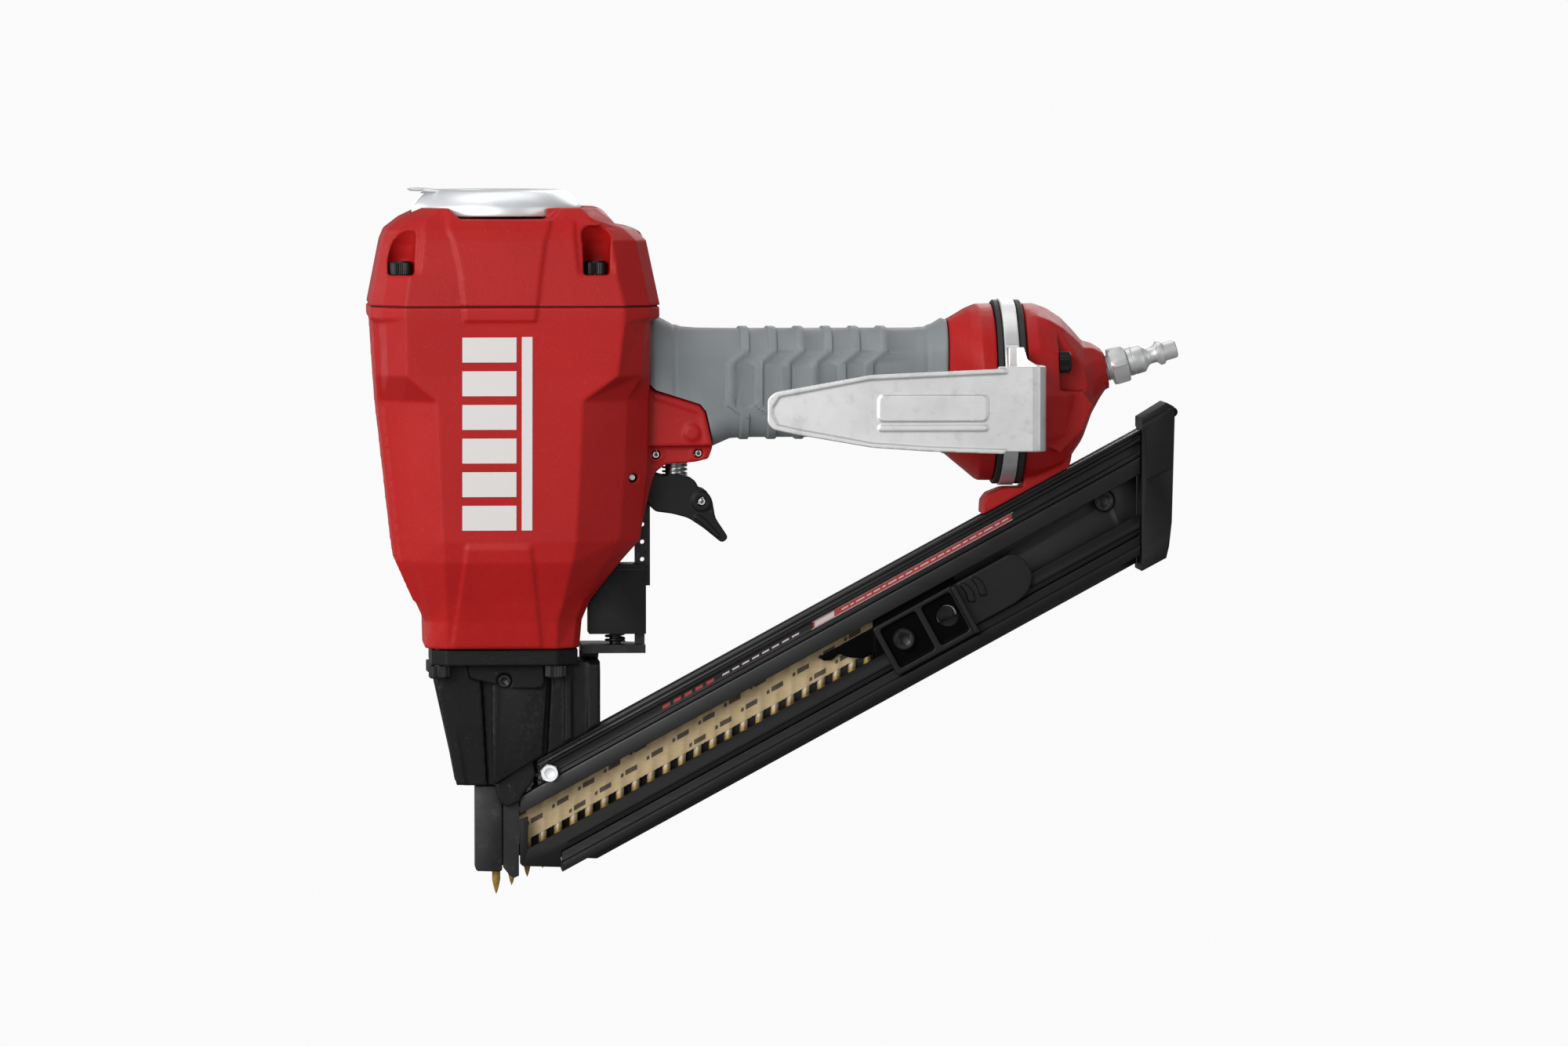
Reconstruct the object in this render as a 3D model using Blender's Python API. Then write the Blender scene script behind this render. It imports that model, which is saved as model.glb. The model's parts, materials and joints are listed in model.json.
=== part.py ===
"""Pneumatic metal-connector nailer, modelled as a bench assembly of separate parts.

Lengths below are in millimetres and are scaled to metres when a mesh is made.
+X runs from the nose towards the air plug, -Y is the belt-hook side, +Z is up.
The origin is the centre of the hand grip.
"""
import math

import bmesh
import bpy
from mathutils import Matrix, Vector

for old in list(bpy.data.objects):
    bpy.data.objects.remove(old, do_unlink=True)

# ----------------------------------------------------------------- dimensions
MM = 0.001
GAP = 0.3                       # clearance between neighbouring pieces

DRIVE_X = -120.6                # drive axis: piston, driver blade, first nail
HOUSING_TOP = 31.0
HOUSING_BOTTOM = -105.2
CAP_BOTTOM = 32.4
CAP_BOLT_DX, CAP_BOLT_DY = 38.6, 34.0
NOSE_BOLT_DX, NOSE_BOLT_DY = 23.2, 19.0
CYL_BORE = 25.2
CYL_OUTER = 27.5
CAVITY_R = 38.0
DRIVER_R = 2.9
DRIVER_STROKE = 59.0

NAIL_LENGTH = 38.1
NAIL_SHANK_R = 1.65
NAIL_HEAD_R = 2.8
NAIL_PITCH_X = 6.23
NAIL_COUNT = 25                 # the first one stands in the nose
MAG_ANGLE = math.radians(28.5)
MAG_C, MAG_S = math.cos(MAG_ANGLE), math.sin(MAG_ANGLE)
MAG_ORIGIN = (-120.6, -186.35)  # middle of the first nail (x, z)
MAG_RIGHT_X = 138.2

GRIP_X0, GRIP_X1 = -59.5, 59.9
RING_Z = -4.1                   # centre of the hook ring
RING_R_OUT, RING_R_IN = 37.5, 31.3
HUB_R_OUT, HUB_R_IN = 31.0, 24.5
HOOK_Y = -60.0

TRIGGER_PIVOT = (-66.7, -37.3)
LEVER_PIN = (-38.3, -47.5)
STEM_X = -48.7
SAFETY_SPRING_X = -72.7

PLUG_BASE = (126.3, 5.4)
PLUG_TILT = math.radians(16.5)

# ------------------------------------------------------------------ materials
def material(name, colour, metallic, roughness):
    mat = bpy.data.materials.new(name)
    mat.use_nodes = True
    shader = mat.node_tree.nodes["Principled BSDF"]
    shader.inputs["Base Color"].default_value = (*colour, 1.0)
    shader.inputs["Metallic"].default_value = metallic
    shader.inputs["Roughness"].default_value = roughness
    return mat


RED = material("red_powder_coat", (0.38, 0.014, 0.014), 0.0, 0.45)
BLACK = material("black_anodised", (0.012, 0.012, 0.013), 0.3, 0.45)
BLACK_STEEL = material("black_steel", (0.02, 0.02, 0.02), 0.8, 0.4)
GREY = material("grey_rubber", (0.17, 0.19, 0.2), 0.0, 0.7)
SILVER = material("zinc_plate", (0.72, 0.74, 0.76), 1.0, 0.28)
STEEL = material("bare_steel", (0.55, 0.56, 0.57), 1.0, 0.35)
RUBBER = material("seal_rubber", (0.015, 0.015, 0.015), 0.0, 0.8)
ALUMINIUM = material("machined_aluminium", (0.6, 0.6, 0.61), 1.0, 0.4)
GOLD = material("coated_nail", (0.45, 0.28, 0.05), 0.8, 0.35)
PAPER = material("kraft_paper", (0.4, 0.3, 0.16), 0.0, 0.9)

# -------------------------------------------------------------- mesh builders
def to_object(name, bm, mat, origin=(0.0, 0.0, 0.0), smooth=False):
    """Finish one solid as its own object, with its origin at `origin` (mm)."""
    bmesh.ops.remove_doubles(bm, verts=bm.verts, dist=1e-4)
    bmesh.ops.dissolve_degenerate(bm, dist=1e-4, edges=bm.edges)
    bmesh.ops.triangulate(bm, faces=bm.faces)
    bmesh.ops.recalc_face_normals(bm, faces=bm.faces)
    bmesh.ops.translate(bm, verts=bm.verts, vec=-Vector(origin))
    bmesh.ops.scale(bm, verts=bm.verts, vec=(MM, MM, MM))
    mesh = bpy.data.meshes.new(name)
    bm.to_mesh(mesh)
    bm.free()
    mesh.materials.append(mat)
    if smooth:
        mesh.shade_smooth()
        mesh.set_sharp_from_angle(angle=math.radians(35))
    obj = bpy.data.objects.new(name, mesh)
    obj.location = Vector(origin) * MM
    bpy.context.scene.collection.objects.link(obj)
    return obj


def loft(rings, closed=False):
    """Skin equal-length rings of points; cap the two ends unless the loft closes."""
    bm = bmesh.new()
    rows = [[bm.verts.new(p) for p in ring] for ring in rings]
    count = len(rows[0])
    steps = len(rows) if closed else len(rows) - 1
    for i in range(steps):
        a, b = rows[i], rows[(i + 1) % len(rows)]
        for j in range(count):
            k = (j + 1) % count
            bm.faces.new((a[j], a[k], b[k], b[j]))
    if not closed:
        bm.faces.new(rows[0][::-1])
        bm.faces.new(rows[-1])
    bmesh.ops.recalc_face_normals(bm, faces=bm.faces)
    return bm


def prism_y(points, y0, y1):
    return loft([[(x, y0, z) for x, z in points], [(x, y1, z) for x, z in points]])


def prism_z(points, z0, z1):
    return loft([[(x, y, z0) for x, y in points], [(x, y, z1) for x, y in points]])


def prism_x(points, x0, x1):
    return loft([[(x0, y, z) for y, z in points], [(x1, y, z) for y, z in points]])


def box(x0, x1, y0, y1, z0, z1):
    return prism_z([(x0, y0), (x1, y0), (x1, y1), (x0, y1)], z0, z1)


def frame_of(direction):
    w = Vector(direction).normalized()
    u = w.orthogonal().normalized()
    if abs(w.y) < 0.9:
        u = Vector((0, 1, 0)).cross(w).normalized()
    return u, w.cross(u).normalized(), w


def lathe(profile, base, direction, sides=24, turn=0.0):
    """Turn a closed (radius, height) outline round an axis; radius 0 closes on the axis."""
    u, v, w = frame_of(direction)
    base = Vector(base)
    bm = bmesh.new()
    rows = []
    for r, h in profile:
        centre = base + w * h
        if r < 1e-6:
            rows.append([bm.verts.new(centre)])
        else:
            rows.append([bm.verts.new(centre + u * (r * math.cos(turn + 2 * math.pi * i / sides))
                                      + v * (r * math.sin(turn + 2 * math.pi * i / sides)))
                         for i in range(sides)])
    for n in range(len(rows)):
        a, b = rows[n], rows[(n + 1) % len(rows)]
        if len(a) == 1 and len(b) == 1:
            continue
        for i in range(sides):
            k = (i + 1) % sides
            if len(a) == 1:
                bm.faces.new((a[0], b[k], b[i]))
            elif len(b) == 1:
                bm.faces.new((a[i], a[k], b[0]))
            else:
                bm.faces.new((a[i], a[k], b[k], b[i]))
    bmesh.ops.recalc_face_normals(bm, faces=bm.faces)
    return bm


def rod(p0, p1, r, sides=20, r1=None):
    r1 = r if r1 is None else r1
    length = (Vector(p1) - Vector(p0)).length
    return lathe([(0, 0), (r, 0), (r1, length), (0, length)], p0, Vector(p1) - Vector(p0), sides)


def ring(centre, direction, r_out, r_in, length, sides=32):
    return lathe([(r_in, 0), (r_out, 0), (r_out, length), (r_in, length)], centre, direction, sides)


def o_ring(centre, direction, radius, wire, sides=32, cord=8):
    profile = [(radius + wire * math.cos(2 * math.pi * i / cord),
                wire * math.sin(2 * math.pi * i / cord)) for i in range(cord)]
    return lathe(profile, centre, direction, sides)


def coil(centre, direction, radius, wire, length, turns, per_turn=12, cord=5):
    """A closed round wire wound into a helix, with flat ends."""
    u, v, w = frame_of(direction)
    centre = Vector(centre)
    steps = int(turns * per_turn)
    rings = []
    rise = (length - 2 * wire) / steps
    for i in range(steps + 1):
        a = 2 * math.pi * i / per_turn
        out = u * math.cos(a) + v * math.sin(a)
        along = (v * math.cos(a) - u * math.sin(a)) * (2 * math.pi * radius / per_turn) + w * rise
        along.normalize()
        side = along.cross(out).normalized()
        mid = centre + out * radius + w * (wire + rise * i)
        rings.append([mid + out * (wire * math.cos(2 * math.pi * k / cord))
                      + side * (wire * math.sin(2 * math.pi * k / cord)) for k in range(cord)])
    return loft(rings)


def _temp(bm):
    mesh = bpy.data.meshes.new("temp")
    bm.to_mesh(mesh)
    bm.free()
    obj = bpy.data.objects.new("temp", mesh)
    bpy.context.scene.collection.objects.link(obj)
    return obj


def boolean(bm, others, operation):
    """Join or cut `bm` with each of the closed solids in `others`."""
    target = _temp(bm)
    tools = [_temp(other) for other in others]
    for tool in tools:
        mod = target.modifiers.new("bool", "BOOLEAN")
        mod.operation = operation
        mod.solver = "EXACT"
        mod.object = tool
    graph = bpy.context.evaluated_depsgraph_get()
    mesh = bpy.data.meshes.new_from_object(target.evaluated_get(graph))
    out = bmesh.new()
    out.from_mesh(mesh)
    for obj in [target] + tools:
        old_mesh = obj.data
        bpy.data.objects.remove(obj, do_unlink=True)
        bpy.data.meshes.remove(old_mesh)
    bpy.data.meshes.remove(mesh)
    bmesh.ops.remove_doubles(out, verts=out.verts, dist=2e-4)
    bmesh.ops.dissolve_limit(out, angle_limit=math.radians(0.3), verts=out.verts, edges=out.edges)
    return out


def union(bm, *others):
    return boolean(bm, others, "UNION")


def cut(bm, *others):
    return boolean(bm, others, "DIFFERENCE")


def octagon(x_left, x_right, y_half, f_left, f_right, s_left, s_right, z):
    """Horizontal section of the faceted casting, seen from above."""
    return [(f_left, -y_half, z), (f_right, -y_half, z), (x_right, -s_right, z), (x_right, s_right, z),
            (f_right, y_half, z), (f_left, y_half, z), (x_left, s_left, z), (x_left, -s_left, z)]


def rounded(half_y, half_z, corner, centre_z=0.0, steps=3):
    """Rounded rectangle in (y, z), counter-clockwise."""
    points = []
    for cy, cz, start in ((half_y - corner, half_z - corner, 0), (-half_y + corner, half_z - corner, 90),
                          (-half_y + corner, -half_z + corner, 180), (half_y - corner, -half_z + corner, 270)):
        for i in range(steps + 1):
            a = math.radians(start + 90 * i / steps)
            points.append((cy + corner * math.cos(a), centre_z + cz + corner * math.sin(a)))
    return points


def mg(u, v):
    """Magazine coordinates (along, up) to world (x, z)."""
    return (MAG_ORIGIN[0] + u * MAG_C - v * MAG_S, MAG_ORIGIN[1] + u * MAG_S + v * MAG_C)


def mz(x, v):
    """World z of the magazine line `v` at world x."""
    return MAG_ORIGIN[1] + (v + (x - MAG_ORIGIN[0]) * MAG_S) / MAG_C


def mag_point(u, y, v):
    x, z = mg(u, v)
    return (x, y, z)


# ======================================================== main casting and cap
BODY_SECTIONS = [
    # z, x_left, x_right, y_half, front-left, front-right, left side, right side
    (HOUSING_TOP, -171.7, -56.4, 47.2, -158.0, -71.0, 31.0, 29.0),
    (28.8, -171.6, -56.2, 47.1, -158.0, -71.0, 31.0, 29.0),
    (28.0, -169.9, -59.9, 46.4, -157.8, -71.0, 30.5, 28.5),
    (4.0, -168.6, -60.0, 45.4, -157.5, -73.5, 29.0, 27.0),
    (-6.0, -168.0, -60.2, 45.0, -145.5, -87.5, 24.0, 23.0),
    (-33.5, -165.0, -60.6, 43.4, -144.5, -88.5, 23.0, 21.0),
    (-62.0, -161.8, -63.6, 41.6, -143.0, -90.0, 22.0, 20.0),
    (-70.2, -160.6, -71.0, 40.2, -142.5, -91.5, 22.0, 20.0),
    (-86.2, -153.5, -83.6, 33.2, -141.5, -95.0, 20.0, 19.0),
    (-94.0, -149.9, -86.9, 30.4, -141.0, -97.0, 19.0, 18.5),
    (HOUSING_BOTTOM, -149.6, -87.9, 27.6, -141.0, -97.4, 19.0, 18.5),
]


def make_housing():
    body = loft([octagon(*row[1:], row[0]) for row in BODY_SECTIONS][::-1])
    # handle tube, with the bell that carries the hook ring
    tube = prism_x(rounded(13.6, 18.4, 9.0), -75.0, 64.0)
    bell_rings = []
    for x, half_y, half_z, corner, cz in ((60.2, 20.6, 27.0, 14.0, -1.7), (61.6, 21.4, 27.8, 14.5, -1.8),
                                          (72.2, 34.8, 34.9, 30.0, RING_Z), (78.4, 35.5, 35.5, 33.0, RING_Z)):
        bell_rings.append([(x, y, z) for y, z in rounded(half_y, half_z, corner, cz, steps=5)])
    bell = loft(bell_rings)
    # web that carries the trigger valve and the trigger
    web_upper = prism_y([(-90.0, -1.0), (-59.9, -0.6), (-57.4, -2.9), (-39.6, -8.6), (-37.3, -11.4), (-34.3, -24.9),
                         (-90.0, -25.2)], -16.4, 16.4)
    web = prism_y([(-90.0, -9.0), (-38.0, -12.0), (-34.1, -24.9),
                   (-34.7, -27.1), (-35.9, -30.2), (-41.3, -31.5), (-53.2, -32.4), (-57.0, -35.6), (-58.6, -39.7),
                   (-63.6, -61.9), (-90.0, -70.0)], -12.5, 12.5)
    shell = union(body, tube, bell, web_upper, web)
    cavity = lathe([(0, 40.0), (CAVITY_R, 40.0), (CAVITY_R, -55.0), (28.2, -84.0), (28.2, -91.0), (23.6, -91.0),
                    (23.6, -110.0), (0, -110.0)], (DRIVE_X, 0, 0), (0, 0, 1), 28)
    bore = prism_x(rounded(10.2, 14.6, 7.0), -95.0, 66.0)
    bell_bore = lathe([(0, 0), (15.5, 0), (HUB_R_IN, 12.0), (HUB_R_IN, 20.0), (0, 20.0)],
                      (62.0, 0, RING_Z), (1, 0, 0), 24)
    valve_bore = rod((STEM_X, 0, -40.0), (STEM_X, 0, 0.0), 7.8)
    slot = prism_y([(-76.0, -30.6), (-57.5, -30.6), (-57.5, -34.0), (-30.0, -38.0), (-30.0, -50.0), (-50.0, -90.0),
                    (-76.0, -90.0)], -8.5, 8.5)
    tools = [cavity, bore, bell_bore, valve_bore, slot]
    for sx in (-1, 1):
        for sy in (-1, 1):
            x, y = DRIVE_X + sx * CAP_BOLT_DX, sy * CAP_BOLT_DY
            tools.append(rod((x, y, 14.0), (x, y, 35.0), 2.4, 10))
            x, y = DRIVE_X + sx * NOSE_BOLT_DX, sy * NOSE_BOLT_DY
            tools.append(rod((x, y, -94.0), (x, y, -108.0), 2.1, 10))
    for x, z, r in ((TRIGGER_PIVOT[0], TRIGGER_PIVOT[1], 1.7), (-56.9, -28.5, 1.7), (-39.9, -28.0, 1.7)):
        tools.append(rod((x, -60, z), (x, 60, z), r, 8))
    # end-cap screws
    for y in (-24.6, 24.6):
        tools.append(rod((70.0, y, 8.5), (82.0, y, 8.5), 2.3, 10))
    shell = cut(shell, *tools)
    return to_object("main_housing", shell, RED)


CAP_SECTIONS = [
    (CAP_BOTTOM, -171.6, -56.2, 47.6, -158.0, -71.0, 31.5, 29.5),
    (57.5, -166.6, -61.4, 42.6, -154.0, -77.0, 28.0, 24.0),
    (61.8, -164.8, -66.0, 41.0, -152.5, -80.5, 27.0, 23.0),
    (66.4, -158.9, -74.0, 38.4, -149.5, -84.0, 25.0, 22.0),
    (70.4, -150.6, -80.0, 35.6, -144.0, -88.0, 22.0, 20.0),
]
DEFLECTOR_Z = 67.0


def make_cap():
    body = loft([octagon(*row[1:], row[0]) for row in CAP_SECTIONS])
    # interior above the head valve, leaving a roof with a deflector post
    cavity = lathe([(0, 20.0), (CAVITY_R, 20.0), (CAVITY_R, 50.0), (33.0, 55.0), (0, 55.0)],
                   (DRIVE_X, 0, 0), (0, 0, 1), 28)
    recess = ring((DRIVE_X, 0, 66.0), (0, 0, 1), 35.2, 9.0, 12.0, 32)
    tools = [cavity, recess]
    # notch in the near rim that shows the deflector
    tools.append(loft([[(x, y, 66.0) for x, y in ((-136.0, -30), (-100.0, -30), (-100.0, -50), (-136.0, -50))],
                       [(x, y, 72.0) for x, y in ((-142.0, -30), (-94.0, -30), (-94.0, -50), (-142.0, -50))]]))
    # exhaust ports through the roof
    for i in range(6):
        a = math.radians(30 + 60 * i)
        x, y = DRIVE_X + 19.0 * math.cos(a), 19.0 * math.sin(a)
        tools.append(rod((x, y, 50.0), (x, y, 70.0), 5.0, 8))
    for sx in (-1, 1):
        for sy in (-1, 1):
            x, y = DRIVE_X + sx * CAP_BOLT_DX, sy * CAP_BOLT_DY
            tools.append(rod((x, y, 30.0), (x, y, 46.0), 2.4, 10))
            tools.append(loft([[(x - 5.2, y - sy * 5.2, 44.0), (x + 5.2, y - sy * 5.2, 44.0),
                                (x + 5.2, sy * 60.0, 44.0), (x - 5.2, sy * 60.0, 44.0)],
                               [(x - 5.2, y - sy * 4.9, 50.2), (x + 5.2, y - sy * 4.9, 50.2),
                                (x + 5.2, sy * 60.0, 50.2), (x - 5.2, sy * 60.0, 50.2)],
                               [(x - 5.2, y + sy * 1.2, 62.5), (x + 5.2, y + sy * 1.2, 62.5),
                                (x + 5.2, sy * 60.0, 62.5), (x - 5.2, sy * 60.0, 62.5)]]))
    # tapped hole for the deflector screw
    tools.append(rod((DRIVE_X, 0, 56.5), (DRIVE_X, 0, 74.0), 2.8, 12))
    body = cut(body, *tools)
    return to_object("top_cap", body, RED)


def make_cap_hardware():
    outer = octagon(-171.2, -57.4, 46.6, -157.7, -71.4, 30.7, 28.7, 31.3)
    gasket = prism_z([(x, y) for x, y, z in outer], HOUSING_TOP + GAP, CAP_BOTTOM - GAP)
    tools = [rod((DRIVE_X, 0, 20), (DRIVE_X, 0, 40), CAVITY_R, 28)]
    for sx in (-1, 1):
        for sy in (-1, 1):
            x, y = DRIVE_X + sx * CAP_BOLT_DX, sy * CAP_BOLT_DY
            tools.append(rod((x, y, 25.0), (x, y, 40.0), 2.4, 10))
    to_object("cap_gasket", cut(gasket, *tools), RUBBER)
    names = iter(("cap_bolt_front_left", "cap_bolt_rear_left", "cap_bolt_front_right", "cap_bolt_rear_right"))
    for sx in (-1, 1):
        for sy in (-1, 1):
            x, y = DRIVE_X + sx * CAP_BOLT_DX, sy * CAP_BOLT_DY
            bolt = lathe([(0, -28.0), (2.1, -28.0), (2.1, 0.3), (4.25, 0.3), (4.25, 5.6), (2.2, 5.6),
                          (2.0, 3.2), (0, 3.2)], (x, y, 44.0), (0, 0, 1), 10)
            to_object(next(names), bolt, BLACK_STEEL, (x, y, 44.0))


def make_deflector():
    # pressed steel cup, upside down, with a dished centre and one open side
    t = 1.3
    top = 77.4
    profile = [(0.1 + 3.2, 71.9), (11.0, 71.9), (15.0, top - t), (30.5, top - t), (33.0, top - 3.6),
               (33.0, DEFLECTOR_Z), (34.3, DEFLECTOR_Z), (34.3, top - 3.2), (31.2, top), (14.4, top),
               (10.4, 73.2), (3.3, 73.2)]
    cup = lathe(profile, (DRIVE_X, 0, 0), (0, 0, 1), 32)
    window = loft([[(-127.0, -14.0, 67.0), (-127.0, 14.0, 67.0), (-165.0, 27.0, 67.0), (-165.0, -27.0, 67.0)],
                   [(-127.0, -14.0, 75.9), (-127.0, 14.0, 75.9), (-165.0, 27.0, 75.9), (-165.0, -27.0, 75.9)]])
    cup = cut(cup, window)
    to_object("exhaust_deflector", cup, SILVER, (DRIVE_X, 0, 72.0))
    screw = lathe([(0, 58.0), (2.5, 58.0), (2.5, 73.6), (5.6, 73.6), (5.6, 75.4), (4.2, 76.9), (2.4, 76.9),
                   (2.1, 75.0), (0, 75.0)], (DRIVE_X, 0, 0), (0, 0, 1), 12)
    to_object("deflector_screw", screw, BLACK_STEEL, (DRIVE_X, 0, 72.0))


# ================================================= air motor inside the casting
def make_motor():
    c = (DRIVE_X, 0, 0)
    up = (0, 0, 1)
    valve = lathe([(12.0, 23.4), (33.5, 23.4), (37.4, 27.0), (37.4, 36.0), (22.0, 36.0), (22.0, 38.0), (14.5, 38.0),
                   (14.5, 47.5), (12.0, 47.5)], c, up, 28)
    to_object("head_valve", valve, BLACK, c)
    spring = coil((DRIVE_X, 0, 38.4), up, 18.3, 1.0, 16.1, 3.5, 12, 4)
    to_object("head_valve_spring", spring, STEEL, c)
    sleeve = lathe([(CYL_BORE, -90.7), (CYL_OUTER, -90.7), (CYL_OUTER, -32.0), (37.4, -32.0), (37.4, -27.0),
                    (CYL_OUTER, -27.0), (CYL_OUTER, 22.8), (CYL_BORE, 22.8)], c, up, 28)
    to_object("cylinder_sleeve", sleeve, ALUMINIUM, c)
    to_object("cylinder_seal_upper", o_ring((DRIVE_X, 0, -25.2), up, 36.1, 1.4, 28, 6), RUBBER, (DRIVE_X, 0, -25.2))
    to_object("cylinder_seal_lower", o_ring((DRIVE_X, 0, -33.8), up, 36.1, 1.4, 28, 6), RUBBER, (DRIVE_X, 0, -33.8))
    bumper = lathe([(3.4, -90.4), (24.8, -90.4), (24.8, -70.0), (21.5, -62.4), (6.5, -62.4), (3.4, -66.0)], c, up, 24)
    to_object("bumper", bumper, RUBBER, c)
    piston = lathe([(0, 10.0), (24.5, 10.0), (24.5, 6.2), (22.0, 6.2), (22.0, 1.8), (24.5, 1.8), (24.5, -2.0),
                    (3.2, -2.0), (3.2, 6.0), (0, 6.0)], c, up, 24)
    to_object("piston", piston, ALUMINIUM, c)
    to_object("piston_seal", lathe([(22.3, 2.2), (24.9, 2.2), (24.9, 5.8), (22.3, 5.8)], c, up, 24), RUBBER, c)
    blade = lathe([(0, 5.7), (DRIVER_R, 5.7), (DRIVER_R, -137.0), (0, -137.0)], c, up, 12)
    to_object("driver_blade", blade, STEEL, c)


# ================================================================ handle end
def make_handle():
    rings = []
    for x, half_y, top, bottom, corner in ((GRIP_X0, 20.0, 27.5, -27.5, 12.5), (-54.5, 19.4, 26.6, -26.6, 12.0),
                                           (-46.0, 17.2, 22.4, -25.9, 11.5), (-34.0, 16.8, 21.7, -25.7, 11.5),
                                           (-27.0, 16.8, 21.6, -22.1, 11.5), (47.0, 16.8, 21.6, -21.8, 11.5),
                                           (55.0, 18.2, 23.2, -24.6, 12.0), (GRIP_X1, 20.6, 25.8, -29.2, 13.0)):
        cz = (top + bottom) / 2
        rings.append([(x, y, z) for y, z in rounded(half_y, (top - bottom) / 2, corner, cz, steps=4)])
    sleeve = loft(rings)
    bore = prism_x(rounded(13.9, 18.7, 9.1), -70.0, 70.0)
    web = prism_y([(-66.0, -0.2), (-59.6, -0.2), (-57.1, -2.5), (-39.3, -8.2), (-36.9, -11.1), (-33.7, -24.8),
                   (-33.7, -50.0), (-66.0, -50.0)], -60.0, 60.0)
    to_object("grip_sleeve", cut(sleeve, bore, web), GREY)

    axis = (1, 0, 0)
    to_object("ring_gasket_front", ring((78.7, 0, RING_Z), axis, 37.0, RING_R_IN, 2.2, 28), RUBBER,
              (78.7, 0, RING_Z))
    to_object("ring_gasket_rear", ring((87.5, 0, RING_Z), axis, 37.0, RING_R_IN, 2.5, 28), RUBBER,
              (87.5, 0, RING_Z))

    # belt hook: a ring clamped between the gaskets, a strap, and a long flat arm
    hook = ring((81.2, 0, RING_Z), axis, RING_R_OUT, RING_R_IN, 6.0, 28)
    strap = prism_z([(82.0, -31.5), (87.0, -31.5), (87.0, -36.8), (95.5, -43.5), (95.5, -50.0), (93.1, -50.0),
                     (93.1, -44.6), (85.8, -39.2), (82.0, -39.2)], 4.0, 15.0)
    standoff = prism_z([(95.5, -44.5), (95.5, -54.0), (89.8, -61.2), (76.0, -61.2), (76.0, -58.8), (88.6, -58.8),
                        (93.1, -53.1), (93.1, -44.5)], -25.8, 8.0)
    arm = prism_y([(-15.5, -4.6), (-12.7, -1.9), (25.2, 4.8), (79.0, 7.2), (79.0, -26.6), (47.4, -25.4),
                   (26.1, -23.9), (-4.4, -18.6), (-13.4, -16.6), (-15.5, -14.2)], HOOK_Y - 1.2, HOOK_Y + 1.2)
    to_object("belt_hook", union(hook, strap, standoff, arm), SILVER, (84.2, 0, RING_Z))

    # end cap: hub through the ring, domed cover, plug boss and magazine foot
    rings = []
    for x, cz, rz, ry in ((90.3, RING_Z, 35.5, 35.5), (95.4, RING_Z, 35.4, 35.4), (101.0, RING_Z - 0.2, 33.4, 33.2),
                          (106.2, -4.5, 31.0, 30.6), (111.0, -4.2, 26.0, 26.0), (115.0, -3.8, 20.4, 21.0),
                          (119.0, 1.0, 14.4, 13.6), (122.6, 3.2, 10.0, 10.0), (124.8, 3.4, 6.9, 7.6)):
        rings.append([(x, ry * math.cos(2 * math.pi * i / 28), cz + rz * math.sin(2 * math.pi * i / 28))
                      for i in range(28)])
    dome = loft(rings)
    hub = lathe([(0, 0), (HUB_R_OUT, 0), (HUB_R_OUT, 14.0), (0, 14.0)], (78.9, 0, RING_Z), axis, 28)
    plug_dir = Vector((math.cos(PLUG_TILT), 0, math.sin(PLUG_TILT)))
    base = Vector((PLUG_BASE[0], 0, PLUG_BASE[1]))
    boss = rod(base - plug_dir * 16.0, base, 7.4, 16)
    foot = prism_y([(92.0, -22.0), (90.7, -42.2), (83.1, -42.4), (76.9, -44.8), (74.8, -47.6), (74.4, mz(74.4, 23.9)),
                    (109.5, mz(109.5, 23.9)), (110.6, -29.4), (109.0, -20.0)], -9.5, 9.5)
    cap = union(dome, hub, boss, foot)
    tools = [lathe([(0, 0), (HUB_R_IN, 0), (HUB_R_IN, 22.0), (16.0, 32.0), (9.0, 34.0), (0, 34.0)],
                   (76.0, 0, RING_Z), axis, 20),
             rod(base - plug_dir * 30.0, base + plug_dir * 5.0, 3.2, 12),
             rod(base - plug_dir * 11.0, base + plug_dir * 5.0, 5.6, 14)]
    for sy in (-1, 1):
        tools.append(rod((77.0, sy * 24.6, 8.5), (112.0, sy * 24.6, 8.5), 2.3, 10))
        lo, hi = sorted((sy * 19.8, sy * 50.0))
        tools.append(prism_y([(103.4, -2.6), (103.4, 20.0), (106.5, 21.5), (118.0, 10.5), (118.0, -1.0), (112.0, -3.4)],
                             lo, hi))
    to_object("end_cap", cut(cap, *tools), RED)
    for sy, name in ((-1, "end_cap_bolt_near"), (1, "end_cap_bolt_far")):
        bolt = lathe([(0, -31.0), (2.0, -31.0), (2.0, 0.3), (4.1, 0.3), (4.1, 5.0), (2.1, 5.0), (1.9, 3.0), (0, 3.0)],
                     (103.4, sy * 24.6, 8.5), axis, 10)
        to_object(name, bolt, BLACK_STEEL, (103.4, sy * 24.6, 8.5))

    # quick-connect air plug
    thread = lathe([(0, -10.6), (5.2, -10.6), (5.2, 0.9), (4.9, 1.2), (0, 1.2)], base, plug_dir, 14)
    hexagon = lathe([(0, 0.8), (7.6, 0.8), (8.4, 1.6), (8.4, 6.4), (7.6, 7.2), (0, 7.2)], base, plug_dir, 6,
                    math.radians(30))
    barrel = lathe([(0, 6.8), (5.6, 6.8), (5.8, 7.4), (5.8, 14.2), (3.4, 16.4), (3.4, 19.6), (5.0, 20.8), (5.0, 22.4),
                    (3.95, 23.4), (3.95, 27.8), (3.5, 28.3), (0, 28.3)], base, plug_dir, 16)
    plug = cut(union(thread, hexagon, barrel), rod(base - plug_dir * 20, base + plug_dir * 40, 2.5, 10))
    to_object("air_plug", plug, STEEL, tuple(base))


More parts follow.
